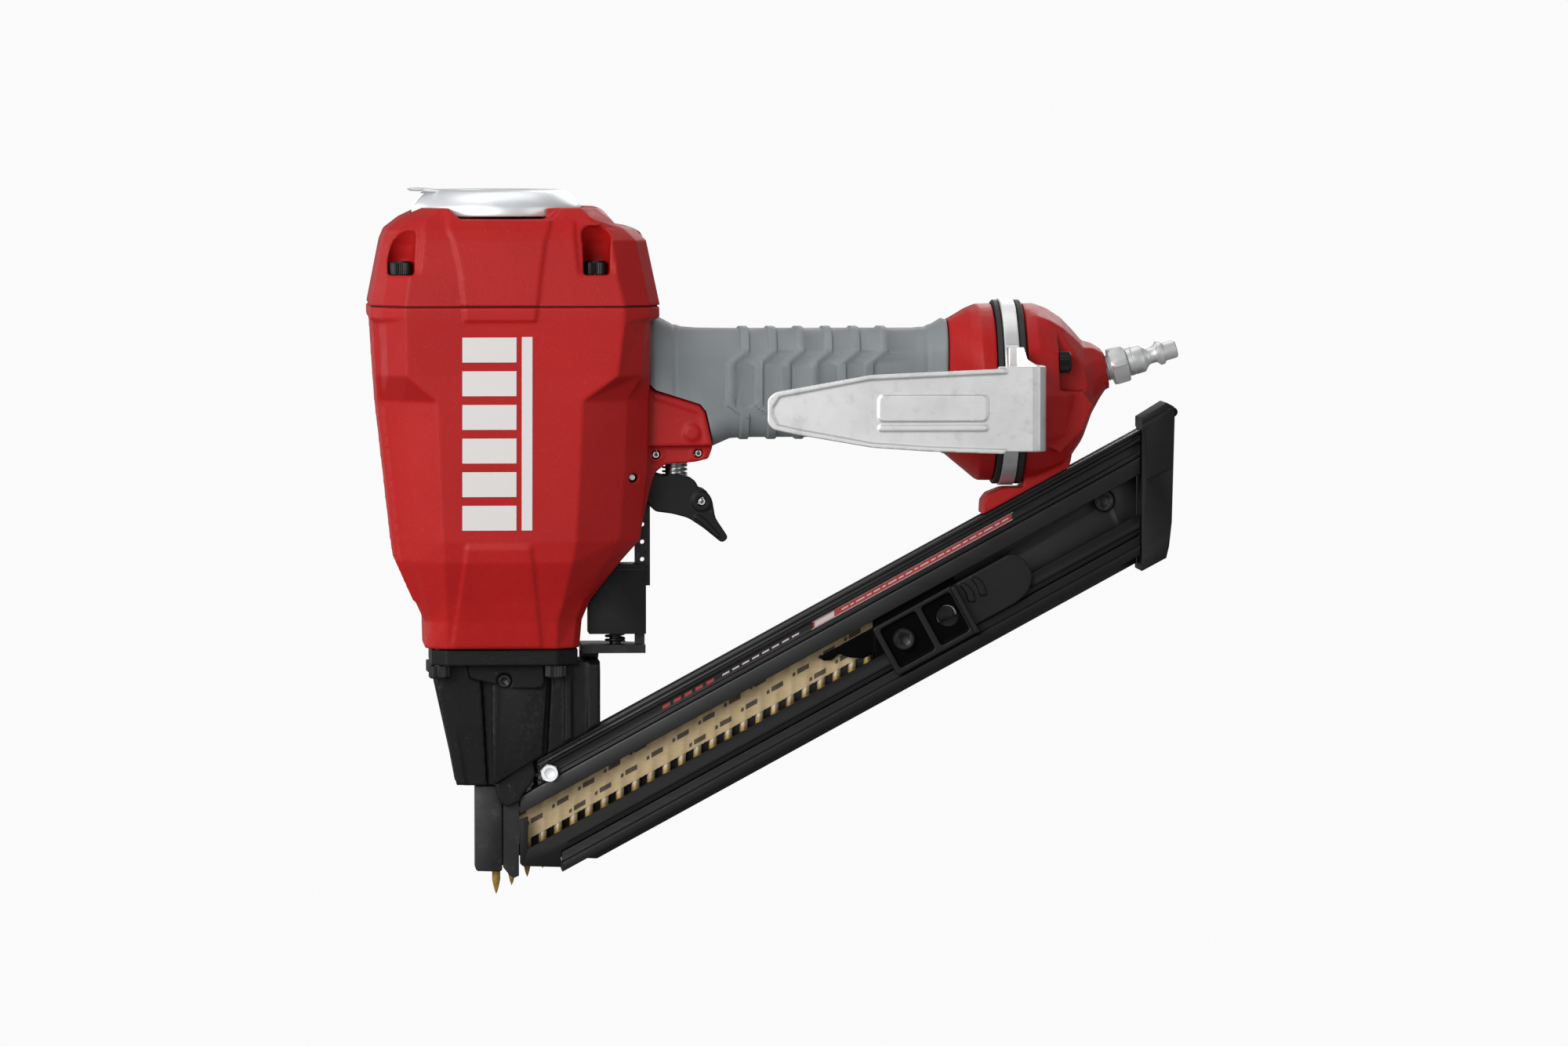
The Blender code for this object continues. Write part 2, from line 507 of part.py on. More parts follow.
# ======================================================================== nose
def make_nose():
    flange = prism_z([(x, y) for x, y in ((-141.5, -25.0), (-97.0, -25.0), (-88.5, -18.0), (-88.5, 18.0),
                                          (-97.0, 25.0), (-141.5, 25.0), (-147.1, 19.0), (-147.1, -19.0))],
                     -112.0, HOUSING_BOTTOM - 0.4)
    rings = []
    for z, xl, xr, yh, ch in ((-111.0, -146.6, -79.2, 14.3, 5.0), (-116.0, -146.3, -79.1, 14.3, 5.0),
                              (-136.2, -141.9, -79.1, 13.4, 4.5), (-161.0, -136.4, -79.1, 11.6, 3.5)):
        rings.append([(xl + ch, -yh, z), (xr - ch, -yh, z), (xr, -yh + ch, z), (xr, yh - ch, z),
                      (xr - ch, yh, z), (xl + ch, yh, z), (xl, yh - ch, z), (xl, -yh + ch, z)])
    body = loft(rings)
    under = prism_y([(-120.7, -160.8), (-107.2, mz(-107.2, 23.9)), (-60.0, mz(-60.0, 23.9)), (-60.0, -170.0), (-160.0, -170.0),
                     (-160.0, -160.8)], -40, 40)
    shoulder = box(-88.4, -70.0, -30.0, 30.0, -109.3, -100.0)
    nose = union(flange, body)
    tools = [under, shoulder,
             rod((DRIVE_X, 0, -100.0), (DRIVE_X, 0, -170.0), DRIVER_R + 0.4, 16),
             # space for the safety link's cross bar
             box(-118.8, -107.6, -8.0, 30.0, -170.0, -153.0),
             # recess for the cover plate
             prism_y([(-127.0, -114.6), (-99.0, -114.6), (-101.5, -170.0), (-124.0, -170.0)], -30.0, -10.2)]
    for sx in (-1, 1):
        for sy in (-1, 1):
            x, y = DRIVE_X + sx * NOSE_BOLT_DX, sy * NOSE_BOLT_DY
            tools.append(rod((x, y, -100.0), (x, y, -113.0), 2.1, 10))
    tools.append(rod((-117.8, -20.0, -118.6), (-117.8, -4.5, -118.6), 1.6, 8))
    to_object("nose_casting", cut(nose, *tools), BLACK)
    names = iter(("nose_bolt_front_left", "nose_bolt_rear_left", "nose_bolt_front_right", "nose_bolt_rear_right"))
    for sx in (-1, 1):
        for sy in (-1, 1):
            x, y = DRIVE_X + sx * NOSE_BOLT_DX, sy * NOSE_BOLT_DY
            bolt = lathe([(0, 17.5), (1.8, 17.5), (1.8, -0.3), (4.2, -0.3), (4.2, -5.3), (2.1, -5.3), (1.9, -3.2),
                          (0, -3.2)], (x, y, -112.0), (0, 0, 1), 10)
            to_object(next(names), bolt, BLACK_STEEL, (x, y, -112.0))
    plate = prism_y([(-122.6, -115.6), (-100.4, -115.6), (-102.6, mz(-102.6, 24.6)), (-120.8, -159.8),
                     (-122.4, -159.8)], -14.6, -10.5)
    plate = cut(plate, rod((-117.8, -20.0, -118.6), (-117.8, -4.5, -118.6), 1.6, 8))
    to_object("nose_cover_plate", plate, BLACK)
    screw = lathe([(0, 9.0), (1.3, 9.0), (1.3, -0.3), (2.8, -0.3), (2.8, -2.4), (1.4, -2.4), (1.2, -1.2), (0, -1.2)],
                  (-117.8, -14.6, -118.6), (0, 1, 0), 8)
    to_object("nose_cover_screw", screw, BLACK_STEEL, (-117.8, -14.6, -118.6))
    block = cut(prism_y([(-129.1, -161.2), (-118.4, -161.2), (-118.4, -195.2), (-119.4, -195.9), (-128.4, -195.6),
                         (-129.1, -194.8)], -7.3, 7.3),
                box(-124.0, -110.0, -3.4, 3.4, -150.0, -210.0))
    to_object("nose_block", block, BLACK_STEEL)


# =========================================================== trigger and valve
def make_trigger():
    px, pz = TRIGGER_PIVOT
    outline = [(-57.1, -36.0), (-53.1, -37.3), (-48.7, -36.2), (-41.2, -38.7), (-39.4, -42.2), (-36.8, -42.7),
               (-34.1, -46.6), (-32.8, -54.1), (-27.5, -62.1), (-30.1, -64.3), (-32.8, -62.1), (-37.7, -58.1),
               (-43.8, -54.1), (-50.1, -52.4), (-57.1, -51.5), (-62.0, -45.5), (-67.0, -41.0), (-69.6, -39.6),
               (-70.3, -37.3), (-69.4, -34.8), (-67.0, -33.7), (-63.0, -33.9)]
    inside = [(-75.0, -30.0), (-35.2, -30.0), (-35.3, -46.0), (-34.9, -54.6), (-33.2, -58.2), (-36.0, -56.2),
              (-42.9, -51.7), (-49.6, -49.9), (-55.8, -49.2), (-58.4, -56.0), (-75.0, -56.0)]
    trigger = cut(prism_y(outline, -8.0, 8.0), prism_y(inside, -6.2, 6.2),
                  rod((px, -20, pz), (px, 20, pz), 1.6, 12),
                  rod((LEVER_PIN[0], -20, LEVER_PIN[1]), (LEVER_PIN[0], 20, LEVER_PIN[1]), 1.8, 12))
    to_object("trigger", trigger, BLACK, (px, 0, pz))
    to_object("trigger_pivot_pin", rod((px, -18.0, pz), (px, 18.0, pz), 1.3, 12), STEEL, (px, 0, pz))
    for name, x, z in (("valve_roll_pin_front", -56.9, -28.5), ("valve_roll_pin_rear", -39.9, -28.0)):
        to_object(name, rod((x, -12.6, z), (x, 12.6, z), 1.3, 12), STEEL, (x, 0, z))
    lx, lz = LEVER_PIN
    to_object("trigger_lever_pin", rod((lx, -8.2, lz), (lx, 8.2, lz), 1.5, 12), STEEL, (lx, 0, lz))
    lever = prism_y([(-61.5, -43.9), (-61.5, -42.7), (-46.0, -42.7), (-40.6, -44.4), (-38.3, -44.8), (-36.4, -45.6),
                     (-35.6, -47.5), (-36.4, -49.4), (-38.3, -50.2), (-40.2, -49.4), (-41.2, -47.4), (-42.2, -45.8),
                     (-46.6, -43.9)], -2.8, 2.8)
    lever = cut(lever, rod((lx, -20, lz), (lx, 20, lz), 1.7, 12))
    to_object("trigger_lever", lever, BLACK_STEEL, (lx, 0, lz))
    body = lathe([(4.2, -31.6), (7.4, -31.6), (7.4, -30.8), (6.1, -30.5), (6.1, -26.2), (7.4, -25.9), (7.4, -4.0),
                  (2.8, -4.0), (2.8, -26.0), (4.2, -26.0)], (STEM_X, 0, 0), (0, 0, 1), 14)
    to_object("trigger_valve_body", body, ALUMINIUM, (STEM_X, 0, 0))
    stem = lathe([(0, -39.2), (5.4, -39.2), (5.4, -38.2), (3.8, -38.2), (3.8, -30.0), (2.4, -30.0), (2.4, -8.0),
                  (0, -8.0)], (STEM_X, 0, 0), (0, 0, 1), 12)
    to_object("trigger_valve_stem", stem, STEEL, (STEM_X, 0, 0))
    spring = coil((STEM_X, 0, -37.9), (0, 0, 1), 4.75, 0.4, 6.0, 3, 9, 4)
    to_object("trigger_valve_spring", spring, STEEL, (STEM_X, 0, 0))


# ============================================================== safety linkage
def make_safety():
    guard = prism_y([(-71.9, -72.6), (-60.7, -72.6), (-60.7, -100.5), (-83.5, -100.5), (-83.5, -87.6),
                     (-82.3, -86.0)], -9.0, 9.0)
    guard = cut(guard, box(-65.5, -50.0, -2.2, 2.2, -110.0, -60.0),
                rod((SAFETY_SPRING_X, 0, -110.0), (SAFETY_SPRING_X, 0, -86.2), 4.5, 12))
    to_object("safety_guard", guard, BLACK)
    rail = prism_y([(-64.8, -44.4), (-58.7, -44.4), (-58.7, -81.5), (-60.9, -81.5), (-60.9, -106.0),
                    (-64.8, -106.0)], -1.5, 1.5)
    rail = cut(rail, *[rod((-61.8, -9, z), (-61.8, 9, z), 0.9, 8) for z in (-50.0, -57.0, -64.0, -71.0)])
    foot = prism_z([(-86.3, -9.0), (-60.9, -9.0), (-60.9, 9.0), (-77.9, 18.6), (-86.3, 18.6)], -108.2, -104.9)
    post = rod((SAFETY_SPRING_X, 0, -106.0), (SAFETY_SPRING_X, 0, -98.0), 2.3, 12)
    link = prism_y([(-86.3, -105.2), (-78.0, -105.2), (-79.5, -118.5), (-106.5, -157.8), (-108.6, -159.9),
                    (-113.4, -159.9), (-113.4, -157.5), (-86.3, -118.0)], 16.2, 18.6)
    bar = box(-113.4, -108.6, -7.1, 18.4, -159.9, -157.5)
    arm_outline = [(-118.0, -163.5), (-113.2, -157.7), (-111.7, -157.7), (-111.7, -197.5), (-113.4, -198.3),
                   (-115.0, -197.9), (-118.0, -194.2)]
    slide = union(rail, foot, post, link, bar, prism_y(arm_outline, -7.2, -4.6), prism_y(arm_outline, 4.6, 7.2))
    to_object("safety_contact", slide, BLACK_STEEL)
    spring = coil((SAFETY_SPRING_X, 0, -104.5), (0, 0, 1), 3.5, 0.5, 18.0, 6, 8, 4)
    to_object("safety_spring", spring, STEEL, (SAFETY_SPRING_X, 0, -104.5))


# ==================================================================== magazine
def rail(section, x0, x1):
    """Extrude a (y, v) section along the magazine, with upright ends at x0 and x1."""
    return loft([[(x, y, mz(x, v)) for y, v in section] for x in (x0, x1)])


def make_magazine():
    x1 = MAG_RIGHT_X
    top = rail([(-8.4, 14.3), (-8.4, 16.4), (-6.9, 16.9), (-6.9, 18.5), (-8.4, 19.0), (-8.4, 20.3), (-6.6, 20.8),
                (-6.6, 22.1), (-7.4, 23.3), (7.4, 23.3), (8.4, 22.3), (8.4, 14.3), (3.4, 14.3), (3.4, 19.0),
                (-3.4, 19.0), (-3.4, 14.3)], -104.0, x1)
    bx, bz = mg(32.9, 16.6)
    top = cut(top, rod((bx, -12, bz), (bx, -3.0, bz), 1.8, 10))
    to_object("magazine_top_rail", top, BLACK)
    bolt = cut(union(lathe([(0, 0), (3.4, 0), (3.8, 0.5), (3.8, 3.2), (3.4, 3.6), (0, 3.6)], (bx, -8.7, bz),
                           (0, -1, 0), 6), rod((bx, -8.9, bz), (bx, -3.9, bz), 1.5, 10)),
               rod((bx, -14.0, bz), (bx, -11.2, bz), 1.6, 10))
    to_object("magazine_front_bolt", bolt, SILVER, (bx, -8.7, bz))
    to_object("magazine_face_plate",
              rail([(-8.4, 5.5), (-8.4, 14.0), (-5.4, 14.0), (-5.4, 5.5)], -111.3, x1), BLACK)
    far = prism_y([(-111.3, mz(-111.3, 14.0)), (-111.3, -190.5), (-79.8, mz(-79.8, -24.4)), (x1, mz(x1, -24.4)),
                   (x1, mz(x1, 14.0))], 5.4, 8.4)
    rx, rz = mg(281.5, 4.2)
    far = cut(far, rod((rx, 0, rz), (rx, 20, rz), 2.4, 12))
    to_object("magazine_far_plate", far, BLACK)
    bolt = lathe([(0, 2.8), (2.1, 2.8), (2.1, -0.3), (4.4, -0.3), (4.4, -4.0), (2.2, -4.0), (2.0, -2.2), (0, -2.2)],
                 (rx, 5.4, rz), (0, 1, 0), 10)
    to_object("magazine_rear_bolt", bolt, BLACK_STEEL, (rx, 5.4, rz))
    guide = prism_y([(-111.3, mz(-111.3, 5.2)), (-108.1, mz(-108.1, 5.2)), (-108.1, mz(-108.1, -6.9)),
                     (x1, mz(x1, -6.9)), (x1, mz(x1, -13.4)), (-94.8, mz(-94.8, -13.4)),
                     (-94.8, -194.1), (-110.3, -193.6), (-111.3, -192.6)], -8.4, -5.4)
    to_object("magazine_front_guide", guide, BLACK)
    lower = rail([(-10.5, -20.8), (-10.5, -17.2), (-8.4, -17.2), (-8.4, -13.8), (-3.4, -13.8), (-3.4, -18.0),
                  (5.1, -18.0), (5.1, -20.8)], -94.5, x1)
    to_object("magazine_lower_rail", lower, BLACK)
    cap = prism_y([(138.6, -14.4), (148.5, -8.3), (151.4, -9.8), (151.8, -12.5), (150.7, -56.1), (149.6, -66.0),
                   (148.5, -70.7), (138.6, -76.0)], -11.5, 11.5)
    to_object("magazine_end_cap", cap, BLACK)


# ====================================================================== pusher
def make_pusher():
    def uv(points):
        return [mg(u, v) for u, v in points]
    near = prism_y(uv([(174.0, -16.4), (211.6, -16.4), (211.6, 5.2), (174.0, 5.2)]), -12.2, -8.8)
    fin = prism_y(uv([(209.3, -16.1), (211.3, -16.1), (211.3, 4.9), (209.3, 4.9)]), -16.0, -9.6)
    tail_points = [(209.8, -13.6), (236.0, -13.6), (241.0, -11.0), (244.0, -6.5), (245.0, -2.0), (244.0, 2.2),
                   (242.0, 5.0), (209.8, 5.0)]
    tail = prism_y(uv(tail_points), -10.3, -9.0)
    neck = prism_y(uv([(180.0, -6.0), (206.0, -6.0), (206.0, 4.6), (180.0, 4.6)]), -9.4, -4.0)
    front_x = 31.6
    block = prism_y([(front_x, mz(front_x, 12.5)), (front_x, mz(front_x, -12.5)), mg(213.0, -12.5),
                     mg(213.0, 12.5)], -4.6, 4.6)
    tongue = prism_y(uv([(150.0, 4.8), (151.2, 2.6), (154.0, 1.2), (158.0, 2.0), (161.0, -1.4), (166.0, -4.4),
                         (176.0, -4.4), (176.0, 4.8)]), -4.4, -2.8)
    body = union(near, fin, tail, neck, block, tongue)
    bx, bz = mg(183.3, -4.45)
    sx, sz = mg(203.2, -4.9)
    body = cut(body,
               prism_y(uv([(176.4, -14.2), (208.4, -14.2), (208.4, 3.4), (176.4, 3.4)]), -20.0, -10.6),
               rod((bx, -20, bz), (bx, -3.0, bz), 2.4, 12),
               rod((sx, -4.0, sz), (sx, 20.0, sz), 6.7, 16),
               rod((sx, -20.0, sz), (sx, 0.0, sz), 4.3, 14))
    to_object("pusher", body, BLACK)
    bolt = lathe([(0, 6.0), (2.1, 6.0), (2.1, -0.3), (4.4, -0.3), (4.4, -3.4), (2.2, -3.4), (2.0, -1.8), (0, -1.8)],
                 (bx, -10.6, bz), (0, 1, 0), 10)
    to_object("pusher_bolt", bolt, BLACK_STEEL, (bx, -10.6, bz))
    to_object("pusher_coil_spring", ring((sx, -3.4, sz), (0, 1, 0), 6.2, 3.6, 7.6, 16), STEEL, (sx, 0, sz))


# ======================================================================= nails
def nail(x, top):
    """One nail along -Z, head on top, with a pointed tip."""
    return lathe([(0, 0), (NAIL_HEAD_R, 0), (NAIL_HEAD_R, -1.1), (NAIL_SHANK_R, -1.7),
                  (NAIL_SHANK_R, -NAIL_LENGTH + 5.0), (0, -NAIL_LENGTH)], (x, 0, top), (0, 0, 1), 6)


def make_nails():
    first_top = MAG_ORIGIN[1] + NAIL_LENGTH / 2
    to_object("first_nail", nail(DRIVE_X, first_top), GOLD, (DRIVE_X, 0, first_top))
    rise = NAIL_PITCH_X * MAG_S / MAG_C
    x_left, x_right = DRIVE_X + NAIL_PITCH_X - 2.0, DRIVE_X + NAIL_PITCH_X * (NAIL_COUNT - 1) + 2.0
    tape = prism_y([(x_left, mz(x_left, -1.2)), (x_right, mz(x_right, -1.2)), (x_right, mz(x_right, 9.6)),
                    (x_left, mz(x_left, 9.6))], -1.95, 1.95)
    row = bmesh.new()
    for i in range(1, NAIL_COUNT):
        one = nail(DRIVE_X + NAIL_PITCH_X * i, first_top + rise * i)
        mesh = bpy.data.meshes.new("nail")
        one.to_mesh(mesh)
        one.free()
        row.from_mesh(mesh)
        bpy.data.meshes.remove(mesh)
    to_object("nail_strip", union(tape, row), GOLD)


make_housing()
make_cap()
make_cap_hardware()
make_deflector()
make_motor()
make_handle()
make_nose()
make_trigger()
make_safety()
make_magazine()
make_pusher()
make_nails()
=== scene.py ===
import json
import math

import bmesh
import bpy
import numpy as np
from mathutils import Matrix, Vector

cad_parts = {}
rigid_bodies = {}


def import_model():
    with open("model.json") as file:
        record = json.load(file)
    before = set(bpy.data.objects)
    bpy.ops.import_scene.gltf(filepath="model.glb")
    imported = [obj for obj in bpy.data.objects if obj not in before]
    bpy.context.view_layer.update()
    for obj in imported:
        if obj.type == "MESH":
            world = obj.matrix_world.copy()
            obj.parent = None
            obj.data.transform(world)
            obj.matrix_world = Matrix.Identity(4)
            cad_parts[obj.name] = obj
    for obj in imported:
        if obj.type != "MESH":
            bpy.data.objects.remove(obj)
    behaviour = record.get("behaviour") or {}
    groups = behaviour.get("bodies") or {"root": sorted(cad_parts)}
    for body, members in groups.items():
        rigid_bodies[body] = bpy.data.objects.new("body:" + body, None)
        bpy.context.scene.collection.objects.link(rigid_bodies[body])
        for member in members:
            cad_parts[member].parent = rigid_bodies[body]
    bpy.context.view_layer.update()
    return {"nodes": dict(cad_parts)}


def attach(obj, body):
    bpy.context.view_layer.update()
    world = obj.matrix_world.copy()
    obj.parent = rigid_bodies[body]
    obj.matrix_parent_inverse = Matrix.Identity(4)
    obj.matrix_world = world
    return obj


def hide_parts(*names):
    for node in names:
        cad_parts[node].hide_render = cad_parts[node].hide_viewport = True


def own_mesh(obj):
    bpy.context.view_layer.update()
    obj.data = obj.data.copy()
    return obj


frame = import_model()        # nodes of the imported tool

for _o in list(bpy.data.objects):
    if _o.name in ("Cube", "Light", "Camera"):
        bpy.data.objects.remove(_o, do_unlink=True)

MM = 0.001
DRIVE_X = -120.6
HOUSING_TOP, HOUSING_BOTTOM, CAP_BOTTOM = 31.0, -105.2, 32.4
CAP_BOLT_DX, CAP_BOLT_DY = 38.6, 34.0
NOSE_BOLT_DX, NOSE_BOLT_DY = 23.2, 19.0
CAVITY_R = 38.0
NAIL_LENGTH, NAIL_SHANK_R, NAIL_HEAD_R = 38.1, 1.65, 2.8
NAIL_PITCH_X, NAIL_COUNT = 6.23, 25
MAG_ANGLE = math.radians(28.5)
MAG_C, MAG_S = math.cos(MAG_ANGLE), math.sin(MAG_ANGLE)
MAG_ORIGIN = (-120.6, -186.35)
MAG_RIGHT_X = 138.2
GRIP_X0, GRIP_X1 = -59.5, 59.9
RING_Z = -4.1
RING_R_OUT, RING_R_IN = 37.5, 31.3
HUB_R_OUT, HUB_R_IN = 31.0, 24.5
HOOK_Y = -60.0
TRIGGER_PIVOT = (-66.7, -37.3)
LEVER_PIN = (-38.3, -47.5)
STEM_X = -48.7
SAFETY_SPRING_X = -72.7
PLUG_BASE = (126.3, 5.4)
PLUG_TILT = math.radians(16.5)


# ------------------------------------------------------------- mesh builders
def loft(rings, closed=False):
    bm = bmesh.new()
    rows = [[bm.verts.new(p) for p in ring] for ring in rings]
    count = len(rows[0])
    steps = len(rows) if closed else len(rows) - 1
    for i in range(steps):
        a, b = rows[i], rows[(i + 1) % len(rows)]
        for j in range(count):
            k = (j + 1) % count
            bm.faces.new((a[j], a[k], b[k], b[j]))
    if not closed:
        bm.faces.new(rows[0][::-1])
        bm.faces.new(rows[-1])
    bmesh.ops.recalc_face_normals(bm, faces=bm.faces)
    return bm


def prism_y(points, y0, y1):
    return loft([[(x, y0, z) for x, z in points], [(x, y1, z) for x, z in points]])


def prism_z(points, z0, z1):
    return loft([[(x, y, z0) for x, y in points], [(x, y, z1) for x, y in points]])


def prism_x(points, x0, x1):
    return loft([[(x0, y, z) for y, z in points], [(x1, y, z) for y, z in points]])


def box(x0, x1, y0, y1, z0, z1):
    return prism_z([(x0, y0), (x1, y0), (x1, y1), (x0, y1)], z0, z1)


def frame_of(direction):
    w = Vector(direction).normalized()
    u = w.orthogonal().normalized()
    if abs(w.y) < 0.9:
        u = Vector((0, 1, 0)).cross(w).normalized()
    return u, w.cross(u).normalized(), w


def lathe(profile, base, direction, sides=64, turn=0.0, wobble=None):
    """Turn a closed (radius, height) outline round an axis; radius 0 closes on the axis."""
    u, v, w = frame_of(direction)
    base = Vector(base)
    bm = bmesh.new()
    rows = []
    for n, (r, h) in enumerate(profile):
        centre = base + w * h
        if r < 1e-6:
            rows.append([bm.verts.new(centre)])
        else:
            ring_ = []
            for i in range(sides):
                a = turn + 2 * math.pi * i / sides
                rr = r if wobble is None else wobble(n, i, a, r)
                ring_.append(bm.verts.new(centre + u * (rr * math.cos(a)) + v * (rr * math.sin(a))))
            rows.append(ring_)
    for n in range(len(rows)):
        a, b = rows[n], rows[(n + 1) % len(rows)]
        if len(a) == 1 and len(b) == 1:
            continue
        for i in range(sides):
            k = (i + 1) % sides
            if len(a) == 1:
                bm.faces.new((a[0], b[k], b[i]))
            elif len(b) == 1:
                bm.faces.new((a[i], a[k], b[0]))
            else:
                bm.faces.new((a[i], a[k], b[k], b[i]))
    bmesh.ops.recalc_face_normals(bm, faces=bm.faces)
    return bm


def rod(p0, p1, r, sides=32, r1=None):
    r1 = r if r1 is None else r1
    length = (Vector(p1) - Vector(p0)).length
    return lathe([(0, 0), (r, 0), (r1, length), (0, length)], p0, Vector(p1) - Vector(p0), sides)


def ring(centre, direction, r_out, r_in, length, sides=96):
    return lathe([(r_in, 0), (r_out, 0), (r_out, length), (r_in, length)], centre, direction, sides)


def coil(centre, direction, radius, wire, length, turns, per_turn=36, cord=10, ends=0.0):
    """A closed round wire wound into a helix; `ends` turns at each end lie flat."""
    u, v, w = frame_of(direction)
    centre = Vector(centre)
    steps = int(turns * per_turn)
    flat = ends * per_turn
    total = steps - 2 * flat
    rings = []
    for i in range(steps + 1):
        a = 2 * math.pi * i / per_turn
        t = min(max((i - flat) / max(total, 1), 0.0), 1.0)
        lead = min(i, flat) + max(0.0, i - (steps - flat))
        base_h = wire + (length - 2 * wire - 2 * ends * 2 * wire) * t + 2 * wire * lead / per_turn
        out = u * math.cos(a) + v * math.sin(a)
        tangent = (v * math.cos(a) - u * math.sin(a)).normalized()
        side = tangent.cross(out).normalized()
        mid = centre + out * radius + w * base_h
        rings.append([mid + out * (wire * math.cos(2 * math.pi * k / cord))
                      + side * (wire * math.sin(2 * math.pi * k / cord)) for k in range(cord)])
    return loft(rings)


def _temp(bm):
    mesh = bpy.data.meshes.new("temp")
    bm.to_mesh(mesh)
    bm.free()
    obj = bpy.data.objects.new("temp", mesh)
    bpy.context.scene.collection.objects.link(obj)
    return obj


def _drop(obj):
    mesh = obj.data
    bpy.data.objects.remove(obj, do_unlink=True)
    bpy.data.meshes.remove(mesh)


def boolean(bm, others, operation):
    target = _temp(bm)
    tools = [_temp(other) for other in others]
    for tool in tools:
        mod = target.modifiers.new("bool", "BOOLEAN")
        mod.operation = operation
        mod.solver = "EXACT"
        mod.object = tool
    graph = bpy.context.evaluated_depsgraph_get()
    mesh = bpy.data.meshes.new_from_object(target.evaluated_get(graph))
    out = bmesh.new()
    out.from_mesh(mesh)
    for obj in [target] + tools:
        _drop(obj)
    bpy.data.meshes.remove(mesh)
    bmesh.ops.remove_doubles(out, verts=out.verts, dist=2e-4)
    bmesh.ops.dissolve_limit(out, angle_limit=math.radians(0.3), verts=out.verts, edges=out.edges)
    return out


def union(bm, *others):
    return boolean(bm, others, "UNION")


def cut(bm, *others):
    return boolean(bm, others, "DIFFERENCE")


def join(*parts):
    """Several solids in one mesh, left separate."""
    out = bmesh.new()
    for part in parts:
        mesh = bpy.data.meshes.new("join")
        part.to_mesh(mesh)
        part.free()
        out.from_mesh(mesh)
        bpy.data.meshes.remove(mesh)
    return out


def rounded(half_y, half_z, corner, centre_z=0.0, steps=3):
    points = []
    for cy, cz, start in ((half_y - corner, half_z - corner, 0), (-half_y + corner, half_z - corner, 90),
                          (-half_y + corner, -half_z + corner, 180), (half_y - corner, -half_z + corner, 270)):
        for i in range(steps + 1):
            a = math.radians(start + 90 * i / steps)
            points.append((cy + corner * math.cos(a), centre_z + cz + corner * math.sin(a)))
    return points


def resample(points, count):
    """`count` points spread evenly along a closed outline, starting at its first point."""
    pts = [Vector((p[0], p[1], 0)) for p in points]
    pts.append(pts[0])
    lengths = [0.0]
    for a, b in zip(pts, pts[1:]):
        lengths.append(lengths[-1] + (b - a).length)
    out, seg = [], 0
    for i in range(count):
        s = lengths[-1] * i / count
        while lengths[seg + 1] < s:
            seg += 1
        t = (s - lengths[seg]) / max(lengths[seg + 1] - lengths[seg], 1e-9)
        p = pts[seg].lerp(pts[seg + 1], t)
        out.append((p.x, p.y))
    return out


def soften(points, radius, steps=4):
    """Round the corners of a closed 2-D outline."""
    out = []
    n = len(points)
    for i in range(n):
        p, a, b = (Vector(points[i]), Vector(points[i - 1]), Vector(points[(i + 1) % n]))
        da, db = (a - p), (b - p)
        r = min(radius, da.length * 0.45, db.length * 0.45)
        pa, pb = p + da.normalized() * r, p + db.normalized() * r
        for k in range(steps + 1):
            t = k / steps
            q = pa * (1 - t) ** 2 + p * 2 * t * (1 - t) + pb * t * t
            out.append((q.x, q.y))
    return out


def mg(u, v):
    return (MAG_ORIGIN[0] + u * MAG_C - v * MAG_S, MAG_ORIGIN[1] + u * MAG_S + v * MAG_C)


def mz(x, v):
    return MAG_ORIGIN[1] + (v + (x - MAG_ORIGIN[0]) * MAG_S) / MAG_C


def uv(points):
    return [mg(u, v) for u, v in points]


def piece(name, bm, mat, body, replaces=(), bevel=0.0, segs=3, limit=30.0, sharp=38.0,
          voxel=0.0, relax=3, keep=1.0, relax_factor=0.5):
    """Finish one solid in millimetres as a piece that rides on `body`."""
    bmesh.ops.remove_doubles(bm, verts=bm.verts, dist=1e-4)
    if not voxel:
        bmesh.ops.dissolve_limit(bm, angle_limit=math.radians(0.2), verts=bm.verts, edges=bm.edges)
    obj = _temp(bm)
    if voxel:
        m = obj.modifiers.new("remesh", "REMESH")
        m.mode, m.voxel_size = "VOXEL", voxel
        m = obj.modifiers.new("relax", "SMOOTH")
        m.factor, m.iterations = relax_factor, relax
        if keep < 1.0:
            m = obj.modifiers.new("thin", "DECIMATE")
            m.ratio = keep
    if bevel:
        m = obj.modifiers.new("bevel", "BEVEL")
        m.width, m.segments, m.limit_method, m.angle_limit = bevel, segs, "ANGLE", math.radians(limit)
        m.use_clamp_overlap, m.miter_outer = True, "MITER_ARC"
    graph = bpy.context.evaluated_depsgraph_get()
    mesh = bpy.data.meshes.new_from_object(obj.evaluated_get(graph))
    _drop(obj)
    mesh.transform(Matrix.Scale(MM, 4))
    mesh.name = name
    mesh.materials.clear()
    mesh.materials.append(mat)
    mesh.shade_smooth()
    if not voxel:
        mesh.set_sharp_from_angle(angle=math.radians(sharp))
    out = bpy.data.objects.new(name, mesh)
    bpy.context.scene.collection.objects.link(out)
    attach(out, body)
    if replaces:
        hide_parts(*([replaces] if isinstance(replaces, str) else replaces))
    return out


